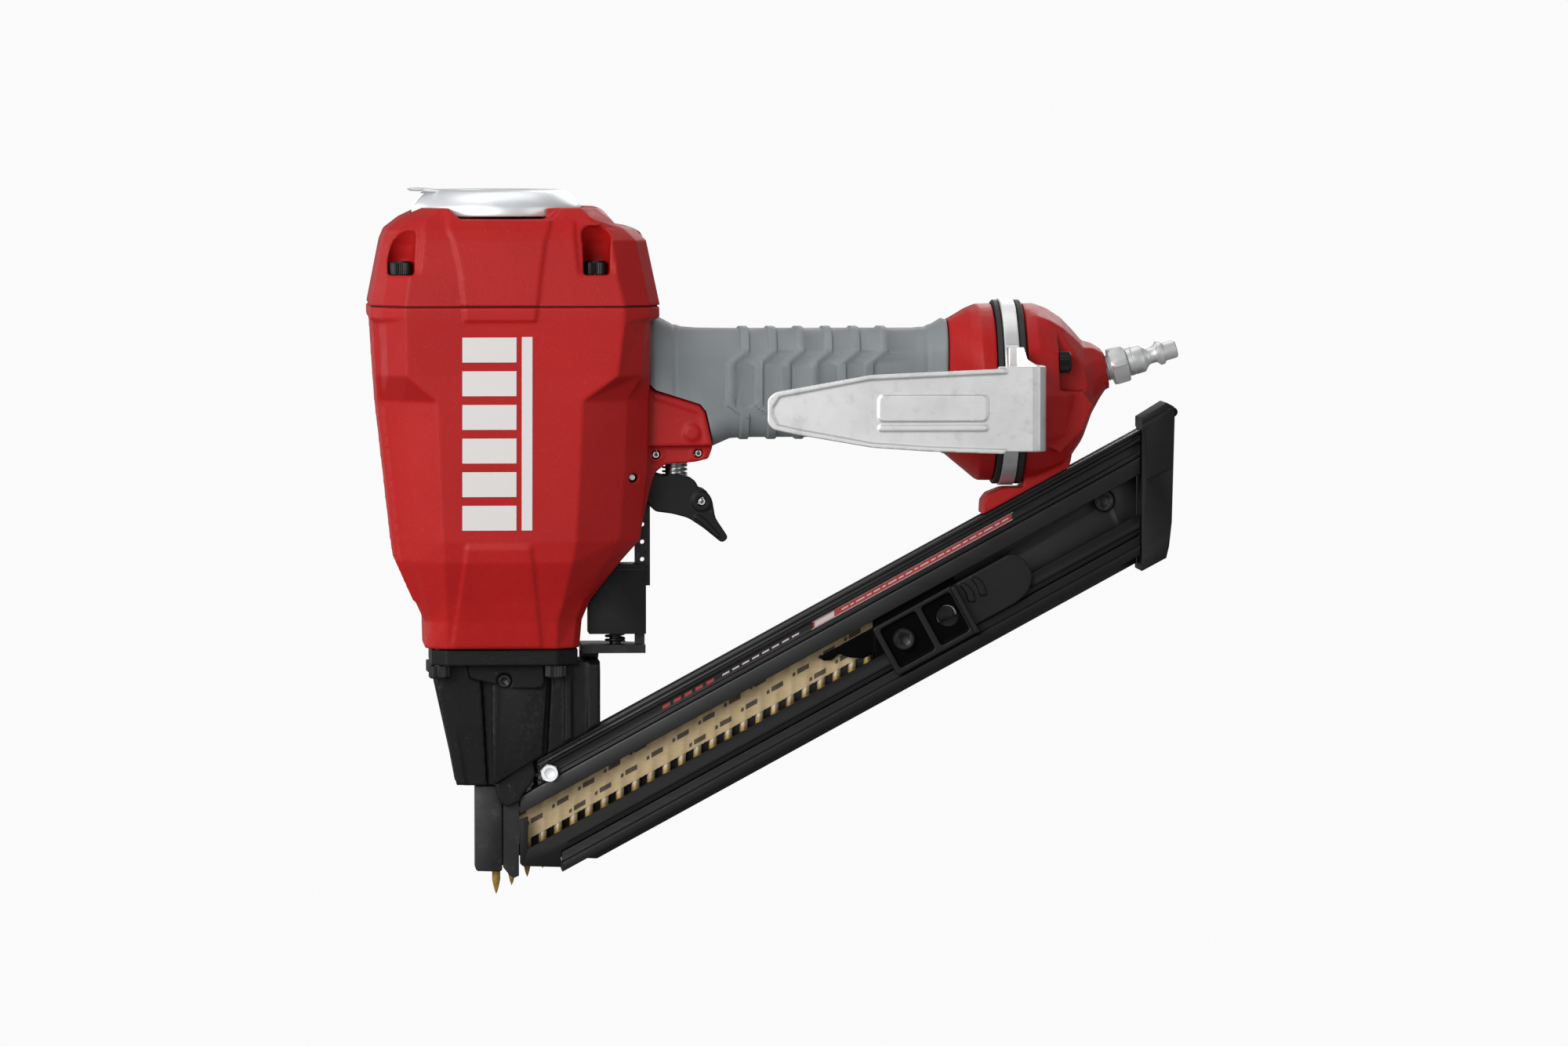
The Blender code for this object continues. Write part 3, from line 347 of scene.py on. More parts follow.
# ------------------------------------------------------------------ materials
class Mat:
    """A small helper round one procedural material."""

    def __init__(self, name):
        self.m = bpy.data.materials.new(name)
        self.m.use_nodes = True
        self.t = self.m.node_tree
        self.t.nodes.clear()
        out = self.t.nodes.new("ShaderNodeOutputMaterial")
        self.b = self.t.nodes.new("ShaderNodeBsdfPrincipled")
        self.t.links.new(self.b.outputs[0], out.inputs[0])
        self.coord = self.t.nodes.new("ShaderNodeTexCoord").outputs["Object"]
        self.height = None

    def link(self, a, b):
        self.t.links.new(a, b)

    def place(self, scale=(1, 1, 1), rot=(0, 0, 0)):
        n = self.t.nodes.new("ShaderNodeMapping")
        n.inputs["Scale"].default_value = scale
        n.inputs["Rotation"].default_value = rot
        self.link(self.coord, n.inputs["Vector"])
        return n.outputs[0]

    def noise(self, scale, detail=4.0, rough=0.55, vec=None, distort=0.0):
        n = self.t.nodes.new("ShaderNodeTexNoise")
        n.inputs["Scale"].default_value = scale
        n.inputs["Detail"].default_value = detail
        n.inputs["Roughness"].default_value = rough
        n.inputs["Distortion"].default_value = distort
        self.link(vec or self.coord, n.inputs["Vector"])
        return n.outputs[0]

    def cells(self, scale, vec=None, feature="F1"):
        n = self.t.nodes.new("ShaderNodeTexVoronoi")
        n.feature = feature
        n.inputs["Scale"].default_value = scale
        self.link(vec or self.coord, n.inputs["Vector"])
        return n.outputs["Distance"]

    def ramp(self, fac, stops):
        n = self.t.nodes.new("ShaderNodeValToRGB")
        while len(n.color_ramp.elements) < len(stops):
            n.color_ramp.elements.new(0.5)
        for e, (p, c) in zip(n.color_ramp.elements, stops):
            e.position = p
            e.color = (*c, 1.0) if len(c) == 3 else c
        self.link(fac, n.inputs["Fac"])
        return n.outputs["Color"]

    def span(self, fac, a, b, c, d):
        n = self.t.nodes.new("ShaderNodeMapRange")
        for k, x in zip(("From Min", "From Max", "To Min", "To Max"), (a, b, c, d)):
            n.inputs[k].default_value = x
        self.link(fac, n.inputs["Value"])
        return n.outputs[0]

    def mix(self, fac, a, b):
        n = self.t.nodes.new("ShaderNodeMix")
        n.data_type = "RGBA"
        for sock, val in ((n.inputs["Factor"], fac), (n.inputs["A"], a), (n.inputs["B"], b)):
            pass
        ins = [s for s in n.inputs if s.enabled]
        fac_in, a_in, b_in = ins[0], [s for s in ins if s.name == "A"][0], [s for s in ins if s.name == "B"][0]
        for sock, val in ((fac_in, fac), (a_in, a), (b_in, b)):
            if hasattr(val, "links"):
                self.link(val, sock)
            elif isinstance(val, tuple):
                sock.default_value = (*val, 1.0)
            else:
                sock.default_value = val
        return [s for s in n.outputs if s.enabled][0]

    def math(self, op, a, b=None):
        n = self.t.nodes.new("ShaderNodeMath")
        n.operation = op
        for i, val in enumerate((a, b)):
            if val is None:
                continue
            if hasattr(val, "links"):
                self.link(val, n.inputs[i])
            else:
                n.inputs[i].default_value = val
        return n.outputs[0]

    def edges(self, lo=0.52, hi=0.62):
        g = self.t.nodes.new("ShaderNodeNewGeometry")
        return self.span(g.outputs["Pointiness"], lo, hi, 0.0, 1.0)

    def bump(self, height, distance, strength=1.0):
        n = self.t.nodes.new("ShaderNodeBump")
        n.inputs["Strength"].default_value = strength
        n.inputs["Distance"].default_value = distance
        self.link(height, n.inputs["Height"])
        if self.height is not None:
            self.link(self.height, n.inputs["Normal"])
        self.height = n.outputs[0]
        self.link(self.height, self.b.inputs["Normal"])

    def set(self, key, val):
        sock = self.b.inputs[key]
        if hasattr(val, "links"):
            self.link(val, sock)
        elif isinstance(val, tuple):
            sock.default_value = (*val, 1.0)
        else:
            sock.default_value = val


def paint(name, base, dark, worn, grain=1100.0, depth=0.00010, rough=(0.36, 0.5), spec=0.5, coat=0.0):
    """Cast metal under a fine-textured coating, thin along its edges."""
    m = Mat(name)
    blotch = m.noise(28.0, 3.0, 0.5)
    colour = m.mix(m.span(blotch, 0.35, 0.65, 0.0, 1.0), base, dark)
    speck = m.span(m.noise(900.0, 2.0, 0.6), 0.62, 0.78, 0.0, 0.22)
    colour = m.mix(speck, colour, worn)
    chips = m.math("MULTIPLY", m.edges(0.53, 0.60), m.span(m.noise(420.0, 5.0, 0.7), 0.5, 0.62, 0.0, 0.55))
    colour = m.mix(chips, colour, worn)
    m.set("Base Color", colour)
    m.set("Roughness", m.span(m.noise(240.0, 4.0, 0.6), 0.3, 0.7, rough[0], rough[1]))
    m.b.inputs["Specular IOR Level"].default_value = spec
    if coat:
        m.b.inputs["Coat Weight"].default_value = coat
        m.b.inputs["Coat Roughness"].default_value = 0.3
    m.bump(m.noise(90.0, 2.0, 0.5), 0.0002, 0.2)
    m.bump(m.noise(grain, 3.0, 0.6), depth, 0.8)
    return m.m


def metal(name, light, dark, rough=(0.22, 0.36), streak=None, scratch=0.3, depth=0.00003, metallic=1.0, aniso=0.0,
          blotch_scale=45.0, grain=900.0, tint=None):
    """Plated or bare steel: clouding, fine scratches and a soft grain."""
    m = Mat(name)
    cloud = m.span(m.noise(blotch_scale, 5.0, 0.6), 0.3, 0.7, 0.0, 1.0)
    colour = m.mix(cloud, light, dark)
    vec = m.place(streak) if streak else None
    lines = m.noise(1.0 if streak else 320.0, 6.0, 0.65, vec=vec)
    mark = m.span(lines, 0.58, 0.72, 0.0, scratch)
    colour = m.mix(mark, colour, dark)
    if tint:
        colour = m.mix(m.span(m.noise(130.0, 4.0, 0.7), 0.55, 0.75, 0.0, 0.6), colour, tint)
    m.set("Base Color", colour)
    m.b.inputs["Metallic"].default_value = metallic
    m.set("Roughness", m.span(lines, 0.3, 0.75, rough[0], rough[1]))
    if depth > 0.0:
        m.bump(lines, depth, 0.5)
        m.bump(m.noise(grain, 2.0, 0.5), depth, 0.35)
    return m.m


def polymer(name, base, light, grain=1500.0, depth=0.00004, rough=(0.42, 0.58), spec=0.4, cell=False, sheen=0.0):
    """Moulded plastic or rubber with an eroded-die grain."""
    m = Mat(name)
    colour = m.mix(m.span(m.noise(60.0, 4.0, 0.6), 0.3, 0.7, 0.0, 1.0), base, light)
    rub = m.math("MULTIPLY", m.edges(0.53, 0.62), 0.35)
    colour = m.mix(rub, colour, tuple(min(1.0, c * 2.4 + 0.02) for c in light))
    m.set("Base Color", colour)
    m.set("Roughness", m.span(m.noise(180.0, 5.0, 0.65), 0.3, 0.7, rough[0], rough[1]))
    m.b.inputs["Specular IOR Level"].default_value = spec
    if sheen:
        m.b.inputs["Sheen Weight"].default_value = sheen
        m.b.inputs["Sheen Roughness"].default_value = 0.4
    if cell:
        m.bump(m.cells(grain), depth, 0.7)
    m.bump(m.noise(grain, 3.0, 0.55), depth, 0.8)
    return m.m


RED = paint("red_powder_coat", (0.372, 0.0080, 0.0078), (0.338, 0.0066, 0.0068), (0.49, 0.070, 0.056),
            grain=2300.0, depth=0.00012, rough=(0.38, 0.50), spec=0.22)
# darker copy of the body red for the cap, the paint being the same: painted shade that tones down its upward-facing
# faces
RED_CAP_PAINTED_SHADE = paint("red_powder_coat_cap_painted_shade", (0.345, 0.0076, 0.0072), (0.313, 0.0062, 0.0062), (0.47, 0.068, 0.054),
                grain=2300.0, depth=0.00012, rough=(0.40, 0.52), spec=0.20)
BLACK_CAST = paint("black_cast_paint", (0.0062, 0.0062, 0.0068), (0.0045, 0.0045, 0.005), (0.06, 0.058, 0.056),
                   grain=1700.0, depth=0.00010, rough=(0.38, 0.54), spec=0.17)
BLACK_ANOD = metal("black_anodised", (0.013, 0.013, 0.014), (0.007, 0.007, 0.0075), rough=(0.30, 0.46),
                   streak=(60.0, 900.0, 900.0), scratch=0.5, depth=0.00003, metallic=0.25)
# matt, darker copy of the black anodised finish for the guide plate and lower rail: its lower base colour and specular
# are painted shade
BLACK_ANOD_PAINTED_SHADE = metal("black_anodised_matt_painted_shade", (0.0065, 0.0065, 0.007), (0.0045, 0.0045, 0.005), rough=(0.44, 0.58),
                  streak=(60.0, 900.0, 900.0), scratch=0.4, depth=0.00002, metallic=0.1)
BLACK_ANOD_PAINTED_SHADE.node_tree.nodes["Principled BSDF"].inputs["Specular IOR Level"].default_value = 0.22
BLACK_STEEL = metal("black_phosphate_steel", (0.018, 0.018, 0.019), (0.009, 0.009, 0.009), rough=(0.36, 0.55),
                    scratch=0.6, metallic=0.5, tint=(0.07, 0.066, 0.06))
BLACK_OXIDE = metal("black_oxide_screw", (0.030, 0.030, 0.031), (0.012, 0.012, 0.012), rough=(0.25, 0.42),
                    scratch=0.4, metallic=0.7, tint=(0.06, 0.055, 0.05))
BLACK_PLASTIC = polymer("black_nylon", (0.0062, 0.0062, 0.0066), (0.0090, 0.0090, 0.0094), grain=1400.0,
                        depth=0.00004, rough=(0.36, 0.5), spec=0.17)
GRIP = polymer("grey_grip_rubber", (0.172, 0.192, 0.200), (0.190, 0.210, 0.218), grain=1900.0, depth=0.00005,
               rough=(0.52, 0.66), spec=0.32, cell=True, sheen=0.08)
SEAL = polymer("seal_rubber_black", (0.012, 0.012, 0.012), (0.018, 0.018, 0.018), grain=1200.0, depth=0.00004,
               rough=(0.55, 0.7), spec=0.3)
ZINC = metal("bright_zinc_plate", (0.80, 0.82, 0.84), (0.73, 0.755, 0.78), rough=(0.34, 0.44), scratch=0.15,
             depth=0.000006, blotch_scale=38.0, metallic=0.6)
HOOK = metal("hook_plated_steel", (0.72, 0.725, 0.72), (0.58, 0.585, 0.58), metallic=0.8, rough=(0.38, 0.50),
             streak=(40.0, 700.0, 700.0), scratch=0.45, depth=0.00004, tint=(0.42, 0.42, 0.43))
NICKEL = metal("nickel_fitting", (0.66, 0.665, 0.67), (0.58, 0.585, 0.59), rough=(0.34, 0.40), scratch=0.1,
               depth=0.0, metallic=0.6)
STEEL = metal("ground_steel", (0.56, 0.565, 0.57), (0.40, 0.40, 0.405), rough=(0.25, 0.42), scratch=0.5)
WIRE = metal("spring_wire", (0.50, 0.50, 0.505), (0.30, 0.30, 0.30), rough=(0.22, 0.38), scratch=0.4)
WIRE_BLACK = metal("spring_wire_black", (0.05, 0.05, 0.052), (0.02, 0.02, 0.02), rough=(0.25, 0.4), scratch=0.4,
                   metallic=0.8)
ALLOY = metal("turned_aluminium", (0.62, 0.62, 0.63), (0.48, 0.48, 0.49), rough=(0.28, 0.42),
              streak=(120.0, 120.0, 1400.0), scratch=0.4)


def nail_coat():
    """Yellow coated nail, gold towards the point and turning pale towards the paper tape as a painted reflection."""
    m = Mat("gold_coated_nail")
    dot = m.t.nodes.new("ShaderNodeVectorMath")
    dot.operation = "DOT_PRODUCT"
    dot.inputs[1].default_value = (-MAG_S, 0.0, MAG_C)
    m.link(m.coord, dot.inputs[0])
    zero = (-MAG_S * MAG_ORIGIN[0] + MAG_C * MAG_ORIGIN[1]) * MM
    along = m.span(dot.outputs["Value"], zero - 0.0062, zero - 0.0026, 0.0, 1.0)
    cloud = m.noise(380.0, 4.0, 0.6)
    gold = m.mix(m.span(cloud, 0.35, 0.65, 0.0, 1.0), (0.50, 0.33, 0.075), (0.24, 0.135, 0.02))
    painted_reflection_pale = m.mix(m.span(cloud, 0.35, 0.65, 0.0, 1.0), (0.82, 0.80, 0.76), (0.60, 0.55, 0.44))
    # pale band towards the tape: painted reflection over the gold coating
    m.set("Base Color", m.mix(along, gold, painted_reflection_pale))
    m.b.inputs["Metallic"].default_value = 0.45
    m.set("Roughness", m.span(cloud, 0.3, 0.7, 0.22, 0.36))
    m.bump(m.noise(1200.0, 3.0, 0.6), 0.00002, 0.5)
    return m.m


NAIL = nail_coat()


def pusher_plastic():
    """Black moulding whose recess floors are painted near black, with almost no specular: painted shade."""
    m = Mat("black_nylon_pusher")
    parts = m.t.nodes.new("ShaderNodeSeparateXYZ")
    m.link(m.coord, parts.inputs[0])
    recess_painted_shade = m.span(parts.outputs["Y"], -0.0105, -0.0101, 0.0, 1.0)
    skin = m.mix(m.span(m.noise(60.0, 4.0, 0.6), 0.3, 0.7, 0.0, 1.0), (0.0066, 0.0066, 0.0070), (0.0094, 0.0094, 0.0098))
    # painted shade: recess floors darkened to near black by object Y, and their specular cut
    m.set("Base Color", m.mix(recess_painted_shade, skin, (0.0012, 0.0012, 0.0012)))
    m.set("Roughness", m.span(m.noise(180.0, 5.0, 0.65), 0.3, 0.7, 0.36, 0.5))
    m.set("Specular IOR Level", m.span(recess_painted_shade, 0.0, 1.0, 0.19, 0.03))
    m.bump(m.noise(1400.0, 3.0, 0.55), 0.00004, 0.8)
    return m.m


PUSHER = pusher_plastic()


def kraft():
    m = Mat("kraft_paper_tape")
    fibre = m.noise(1.0, 6.0, 0.7, vec=m.place((260.0, 900.0, 1400.0), (0, MAG_ANGLE, 0)))
    colour = m.mix(m.span(fibre, 0.3, 0.7, 0.0, 1.0), (0.45, 0.345, 0.20), (0.37, 0.275, 0.15))
    colour = m.mix(m.span(m.noise(70.0, 4.0, 0.6), 0.45, 0.75, 0.0, 0.5), colour, (0.54, 0.42, 0.255))
    m.set("Base Color", colour)
    m.set("Roughness", m.span(fibre, 0.2, 0.8, 0.7, 0.88))
    m.b.inputs["Specular IOR Level"].default_value = 0.25
    m.bump(fibre, 0.00006, 0.7)
    return m.m


def ink(name, colour, rough=0.5, fleck=None):
    m = Mat(name)
    worn = m.span(m.noise(700.0, 5.0, 0.7), 0.58, 0.74, 0.0, 0.6)
    m.set("Base Color", m.mix(worn, colour, fleck or tuple(c * 0.75 for c in colour)))
    m.set("Roughness", m.span(m.noise(300.0, 3.0, 0.6), 0.3, 0.7, rough - 0.06, rough + 0.08))
    m.bump(m.noise(1100.0, 3.0, 0.6), 0.00006, 0.6)
    return m.m


KRAFT = kraft()
WHITE_INK = ink("white_print", (0.60, 0.575, 0.565), 0.45, (0.62, 0.60, 0.59))
DARK_INK = ink("tape_print", (0.06, 0.045, 0.03), 0.8, (0.16, 0.12, 0.07))
STRIP_RED = ink("strip_red_print", (0.30, 0.022, 0.022), 0.42)
STRIP_PALE = ink("strip_pale_print", (0.50, 0.42, 0.41), 0.45)
# ======================================================== main casting and cap
BODY_SECTIONS = [
    # z, x_left, x_right, y_half, front-left, front-right, left side, right side
    (HOUSING_TOP + 0.40, -171.7, -56.4, 47.2, -158.0, -71.0, 31.0, 29.0),
    (26.8, -171.6, -56.3, 47.0, -158.0, -71.0, 31.0, 29.0),
    (25.3, -169.9, -59.9, 46.9, -157.8, -71.0, 30.5, 28.5),
    (4.0, -168.6, -60.0, 45.4, -157.5, -73.5, 29.0, 27.0),
    (-6.0, -168.0, -60.2, 45.0, -145.5, -87.5, 24.0, 23.0),
    (-33.5, -165.0, -60.6, 43.4, -144.5, -88.5, 23.0, 21.0),
    (-62.0, -161.8, -63.6, 41.6, -143.0, -90.0, 22.0, 20.0),
    (-70.2, -160.6, -71.0, 40.2, -142.5, -91.5, 22.0, 20.0),
    (-86.2, -153.5, -83.6, 33.2, -141.5, -95.0, 20.0, 19.0),
    (-94.0, -149.9, -86.9, 30.4, -141.0, -97.0, 19.0, 18.5),
    (HOUSING_BOTTOM, -149.6, -87.9, 27.6, -141.0, -97.4, 19.0, 18.5),
]
CAP_SECTIONS = [
    (CAP_BOTTOM - 0.60, -171.6, -56.2, 47.6, -158.0, -71.0, 31.5, 29.5),
    (57.5, -166.6, -61.4, 42.6, -154.0, -77.0, 28.0, 24.0),
    (61.8, -164.8, -66.0, 41.0, -152.5, -80.5, 27.0, 23.0),
    (66.4, -158.9, -74.0, 38.4, -149.5, -84.0, 25.0, 22.0),
    (70.4, -150.6, -80.0, 35.6, -144.0, -88.0, 22.0, 20.0),
]


def lerp_rows(rows, z, col):
    rows = sorted(rows)
    zs = [r[0] for r in rows]
    return float(np.interp(z, zs, [r[col] for r in rows]))


def face_y(z):
    rows = BODY_SECTIONS if z <= HOUSING_TOP + 0.4 else CAP_SECTIONS
    return lerp_rows(rows, z, 3)


def creased(row, left_share=0.55, right_share=0.62, bulge_l=1.0, bulge_r=1.7):
    """Twelve-sided section of the casting: each diagonal is broken by one more crease."""
    z, xl, xr, y, fl, fr, sl, sr = row
    def crease(fx, x, s, share, bulge):
        px, py = fx + (x - fx) * share, y + (s - y) * share
        dx, dy = x - fx, s - y
        n = math.hypot(dx, dy)
        nx, ny = -dy / n, dx / n
        if nx * (x - fx) + ny * 1.0 < 0:
            nx, ny = -nx, -ny
        if ny < 0:
            nx, ny = -nx, -ny
        return px + nx * bulge, py + ny * bulge
    cr = crease(fr, xr, sr, right_share, bulge_r)
    cl = crease(fl, xl, sl, left_share, bulge_l)
    return [(fl, -y, z), (fr, -y, z), (cr[0], -cr[1], z), (xr, -sr, z), (xr, sr, z), (cr[0], cr[1], z),
            (fr, y, z), (fl, y, z), (cl[0], cl[1], z), (xl, sl, z), (xl, -sl, z), (cl[0], -cl[1], z)]


def panel(rows, depth, side=-1, proud=0.0):
    """A wedge that follows the flat near face between `rows` of (z, x0, x1)."""
    rings = []
    for z, x0, x1 in rows:
        y = face_y(z)
        rings.append([(x0, side * (y - depth), z), (x1, side * (y - depth), z),
                      (x1 + (0 if proud else 0.9), side * (y + (proud or 12.0)), z),
                      (x0 - (0 if proud else 0.9), side * (y + (proud or 12.0)), z)])
    return loft(rings)


PANEL_CAP = [(70.3, -141.6, -99.4), (66.4, -141.3, -99.9), (62.5, -141.0, -100.4), (61.8, -140.7, -100.7),
             (57.5, -138.9, -102.1), (44.8, -136.1, -104.0), (31.9, -134.9, -105.5)]
PANEL_BODY = [(31.3, -134.9, -105.5), (29.0, -134.8, -105.8), (26.8, -134.6, -106.1), (26.1, -134.5, -106.3)]


def raised(rows, height, s):
    """A low raised field with sloped sides that follows the flat face between `rows`."""
    rings = []
    for z, x0, x1 in rows:
        y = face_y(z)
        rings.append([(x0 - 0.7, s * (y - 3.0), z), (x1 + 0.7, s * (y - 3.0), z), (x1 - 0.35, s * (y + height), z),
                      (x0 + 0.35, s * (y + height), z)])
    return loft(rings)


def chamfer_box(x0, x1, y0, y1, z0, z1):
    return box(x0, x1, y0, y1, z0, z1)


def make_housing():
    body = loft([creased(row) for row in BODY_SECTIONS][::-1])
    tube = prism_x(rounded(13.6, 18.4, 9.0, steps=8), -75.0, 64.0)
    bell_rings = []
    for x, half_y, half_z, corner, cz in ((60.2, 20.6, 27.0, 13.0, -2.2), (61.6, 22.0, 27.8, 14.0, -2.5),
                                          (64.6, 25.6, 29.9, 17.0, -2.9), (68.6, 30.6, 32.8, 23.0, -3.3),
                                          (72.4, 35.1, 35.3, 30.0, RING_Z), (78.4, 35.5, 35.5, 33.0, RING_Z)):
        bell_rings.append([(x, y, z) for y, z in rounded(half_y, half_z, corner, cz, steps=12)])
    bell = loft(bell_rings)
    web_upper = prism_y([(-90.0, -1.0), (-59.9, -0.6), (-57.4, -2.9), (-39.6, -8.6), (-37.3, -11.4), (-34.3, -24.9),
                         (-90.0, -25.2)], -16.4, 16.4)
    web = prism_y([(-90.0, -9.0), (-38.0, -12.0), (-34.1, -24.9),
                   (-34.7, -27.1), (-35.9, -30.2), (-41.3, -31.5), (-53.2, -32.4), (-57.0, -35.6), (-58.6, -39.7),
                   (-63.6, -61.9), (-90.0, -70.0)], -12.5, 12.5)
    web_edge = [prism_y([(-58.0, -3.4), (-39.4, -9.4), (-37.6, -11.8), (-34.8, -24.4), (-37.0, -24.4), (-39.4, -13.0),
                         (-40.6, -11.4), (-58.0, -5.8)], s * 16.0, s * 16.9) for s in (-1, 1)]
    extras = [tube, bell, web_upper, web] + web_edge
    # raised edge rib down the front-left corner, both sides
    for s in (-1, 1):
        rib_rings = []
        for row in BODY_SECTIONS[2:9]:
            z, xl, xr, y, fl, fr, sl, sr = row
            rib_rings.append([(xl - 0.1, s * (sl - 2.0), z), (xl - 0.9, s * (sl + 0.4), z), (xl + 0.9, s * (sl + 2.2), z),
                              (xl + 2.6, s * (sl + 1.0), z)])
        extras.append(loft(rib_rings))
        # lower front pad
        pad = [(-62.5, -134.1, -107.6), (-64.5, -134.3, -107.4), (-70.2, -134.9, -106.7), (-86.2, -137.0, -104.8),
               (-94.0, -138.2, -103.9), (-104.6, -139.6, -102.8)]
        rings = []
        for i, (z, x0, x1) in enumerate(pad):
            y = face_y(z)
            out = 0.05 if i == 0 else 0.95
            rings.append([(x0, s * (y - 3.0), z), (x1, s * (y - 3.0), z), (x1 - 0.8, s * (y + out), z),
                          (x0 + 0.8, s * (y + out), z)])
        extras.append(loft(rings))
        # round boss on the trigger web, and rings round the cross pins
        extras.append(lathe([(0, 0), (3.3, 0), (3.3, 1.2), (2.9, 1.7), (0, 1.7)], (-42.6, s * 15.6, -19.6), (0, s, 0), 24))
        extras.append(lathe([(0, 0), (3.0, 0), (2.6, 0.8), (0, 0.8)], (-56.9, s * 12.2, -28.5), (0, s, 0), 24))
        extras.append(lathe([(0, 0), (3.0, 0), (2.6, 0.8), (0, 0.8)], (-39.9, s * 12.2, -28.0), (0, s, 0), 24))
    extras += [raised(PANEL_BODY, 0.8, s) for s in (-1, 1)]
    shell = union(body, *extras)
    cavity = lathe([(0, 40.0), (CAVITY_R, 40.0), (CAVITY_R, -55.0), (28.2, -84.0), (28.2, -91.0), (23.6, -91.0),
                    (23.6, -110.0), (0, -110.0)], (DRIVE_X, 0, 0), (0, 0, 1), 64)
    bore = prism_x(rounded(10.2, 14.6, 7.0, steps=6), -95.0, 66.0)
    bell_bore = lathe([(0, 0), (15.5, 0), (HUB_R_IN, 12.0), (HUB_R_IN, 20.0), (0, 20.0)],
                      (62.0, 0, RING_Z), (1, 0, 0), 48)
    valve_bore = rod((STEM_X, 0, -40.0), (STEM_X, 0, 0.0), 7.8)
    slot = prism_y([(-76.0, -30.6), (-57.5, -30.6), (-57.5, -34.0), (-30.0, -38.0), (-30.0, -50.0), (-50.0, -90.0),
                    (-76.0, -90.0)], -8.5, 8.5)
    tools = [cavity, bore, bell_bore, valve_bore, slot]
    for sx in (-1, 1):
        for sy in (-1, 1):
            x, y = DRIVE_X + sx * CAP_BOLT_DX, sy * CAP_BOLT_DY
            tools.append(rod((x, y, 14.0), (x, y, 35.0), 2.4, 20))
            x, y = DRIVE_X + sx * NOSE_BOLT_DX, sy * NOSE_BOLT_DY
            tools.append(rod((x, y, -94.0), (x, y, -108.0), 2.1, 20))
    for x, z, r in ((TRIGGER_PIVOT[0], TRIGGER_PIVOT[1], 1.9), (-56.9, -28.5, 1.8), (-39.9, -28.0, 1.8)):
        tools.append(rod((x, -60, z), (x, 60, z), r, 20))
    for y in (-24.6, 24.6):
        tools.append(rod((70.0, y, 8.5), (82.0, y, 8.5), 2.3, 20))
    shell = cut(shell, *tools)
    piece("main_housing_shell", shell, RED, "tool_body", "main_housing",
          voxel=0.62, relax=4, keep=0.42)


def make_cap():
    body = loft([creased(row) for row in CAP_SECTIONS])
    # shelf towards the handle: a low hump with a notch above it
    hump = prism_y([(-86.0, 50.0), (-79.0, 60.0), (-73.4, 63.2), (-66.2, 62.3), (-63.2, 60.6), (-61.8, 57.6),
                    (-60.8, 50.0)], -15.0, 15.0)
    body = union(body, hump, *[raised(PANEL_CAP, 0.8, s) for s in (-1, 1)])
    cavity = lathe([(0, 20.0), (CAVITY_R, 20.0), (CAVITY_R, 50.0), (33.0, 55.0), (0, 55.0)],
                   (DRIVE_X, 0, 0), (0, 0, 1), 64)
    recess = ring((DRIVE_X, 0, 66.0), (0, 0, 1), 35.2, 9.0, 12.0, 96)
    tools = [cavity, recess]
    tools.append(prism_y([(-79.6, 70.8), (-73.6, 63.6), (-66.0, 62.5), (-50.0, 62.0), (-50.0, 80.0), (-79.6, 80.0)],
                         -60.0, 60.0))
    tools.append(loft([[(x, y, 66.0) for x, y in ((-136.0, -30), (-100.0, -30), (-100.0, -50), (-136.0, -50))],
                       [(x, y, 72.0) for x, y in ((-142.0, -30), (-94.0, -30), (-94.0, -50), (-142.0, -50))]]))
    for i in range(6):
        a = math.radians(30 + 60 * i)
        x, y = DRIVE_X + 19.0 * math.cos(a), 19.0 * math.sin(a)
        tools.append(rod((x, y, 50.0), (x, y, 70.0), 5.0, 24))
    for sx in (-1, 1):
        for sy in (-1, 1):
            x, y = DRIVE_X + sx * CAP_BOLT_DX, sy * CAP_BOLT_DY
            tools.append(rod((x, y, 30.0), (x, y, 46.0), 2.4, 20))
            # niche with a rounded back that leans outwards
            rings = []
            for z, back, half in ((44.0, 4.9, 5.2), (50.2, 4.7, 5.2), (56.0, 2.4, 5.5), (60.5, -0.6, 5.9), (63.4, -3.4, 5.9)):
                arc = []
                for k in range(13):
                    a = math.pi * k / 12
                    arc.append((x + half * math.cos(a), y - sy * (back - half + half * math.sin(a)), z))
                arc += [(x - half, sy * 60.0, z), (x + half, sy * 60.0, z)]
                rings.append(arc)
            tools.append(loft(rings))
            # broad scallop that leads into the niche
            lead = []
            for z, half, inset in ((43.9, 7.2, 0.2), (47.0, 7.4, 0.9), (58.0, 8.4, 0.9), (66.0, 8.8, 0.3)):
                yy = face_y(z) - inset
                lead.append([(x - half, sy * yy, z), (x + half, sy * yy, z), (x + half + 1.5, sy * (yy + 10), z),
                             (x - half - 1.5, sy * (yy + 10), z)])
            tools.append(loft(lead))
    tools.append(rod((DRIVE_X, 0, 56.5), (DRIVE_X, 0, 74.0), 2.8, 24))
    body = cut(body, *tools)
    # the cap takes the darker red copy as painted shade
    piece("top_cap_shell", body, RED_CAP_PAINTED_SHADE, "tool_body", "top_cap", voxel=0.58, relax=4, keep=0.45)


def socket_screw(base, direction, head_r, head_h, shank_r, shank_len, socket_r, socket_d, knurl=0.16, sides=72,
                 under=0.3):
    """Knurled socket-head screw: head on the +direction side of `base`, shank behind it."""
    def wobble(n, i, a, r):
        if n in (3, 4):          # knurled band
            return r + (knurl if i % 2 else -knurl * 0.4)
        if n in (7, 8):          # hexagon socket
            seg = (a % (math.pi / 3)) - math.pi / 6
            return r * math.cos(math.pi / 6) / math.cos(seg)
        return r
    top = under + head_h
    profile = [(0, -shank_len), (shank_r, -shank_len), (shank_r, under), (head_r, under), (head_r, top - 0.7),
               (head_r - 0.55, top), (socket_r * 1.12, top), (socket_r, top - 0.25), (socket_r, top - socket_d),
               (0, top - socket_d - 0.5)]
    return lathe(profile, base, direction, sides, wobble=wobble)


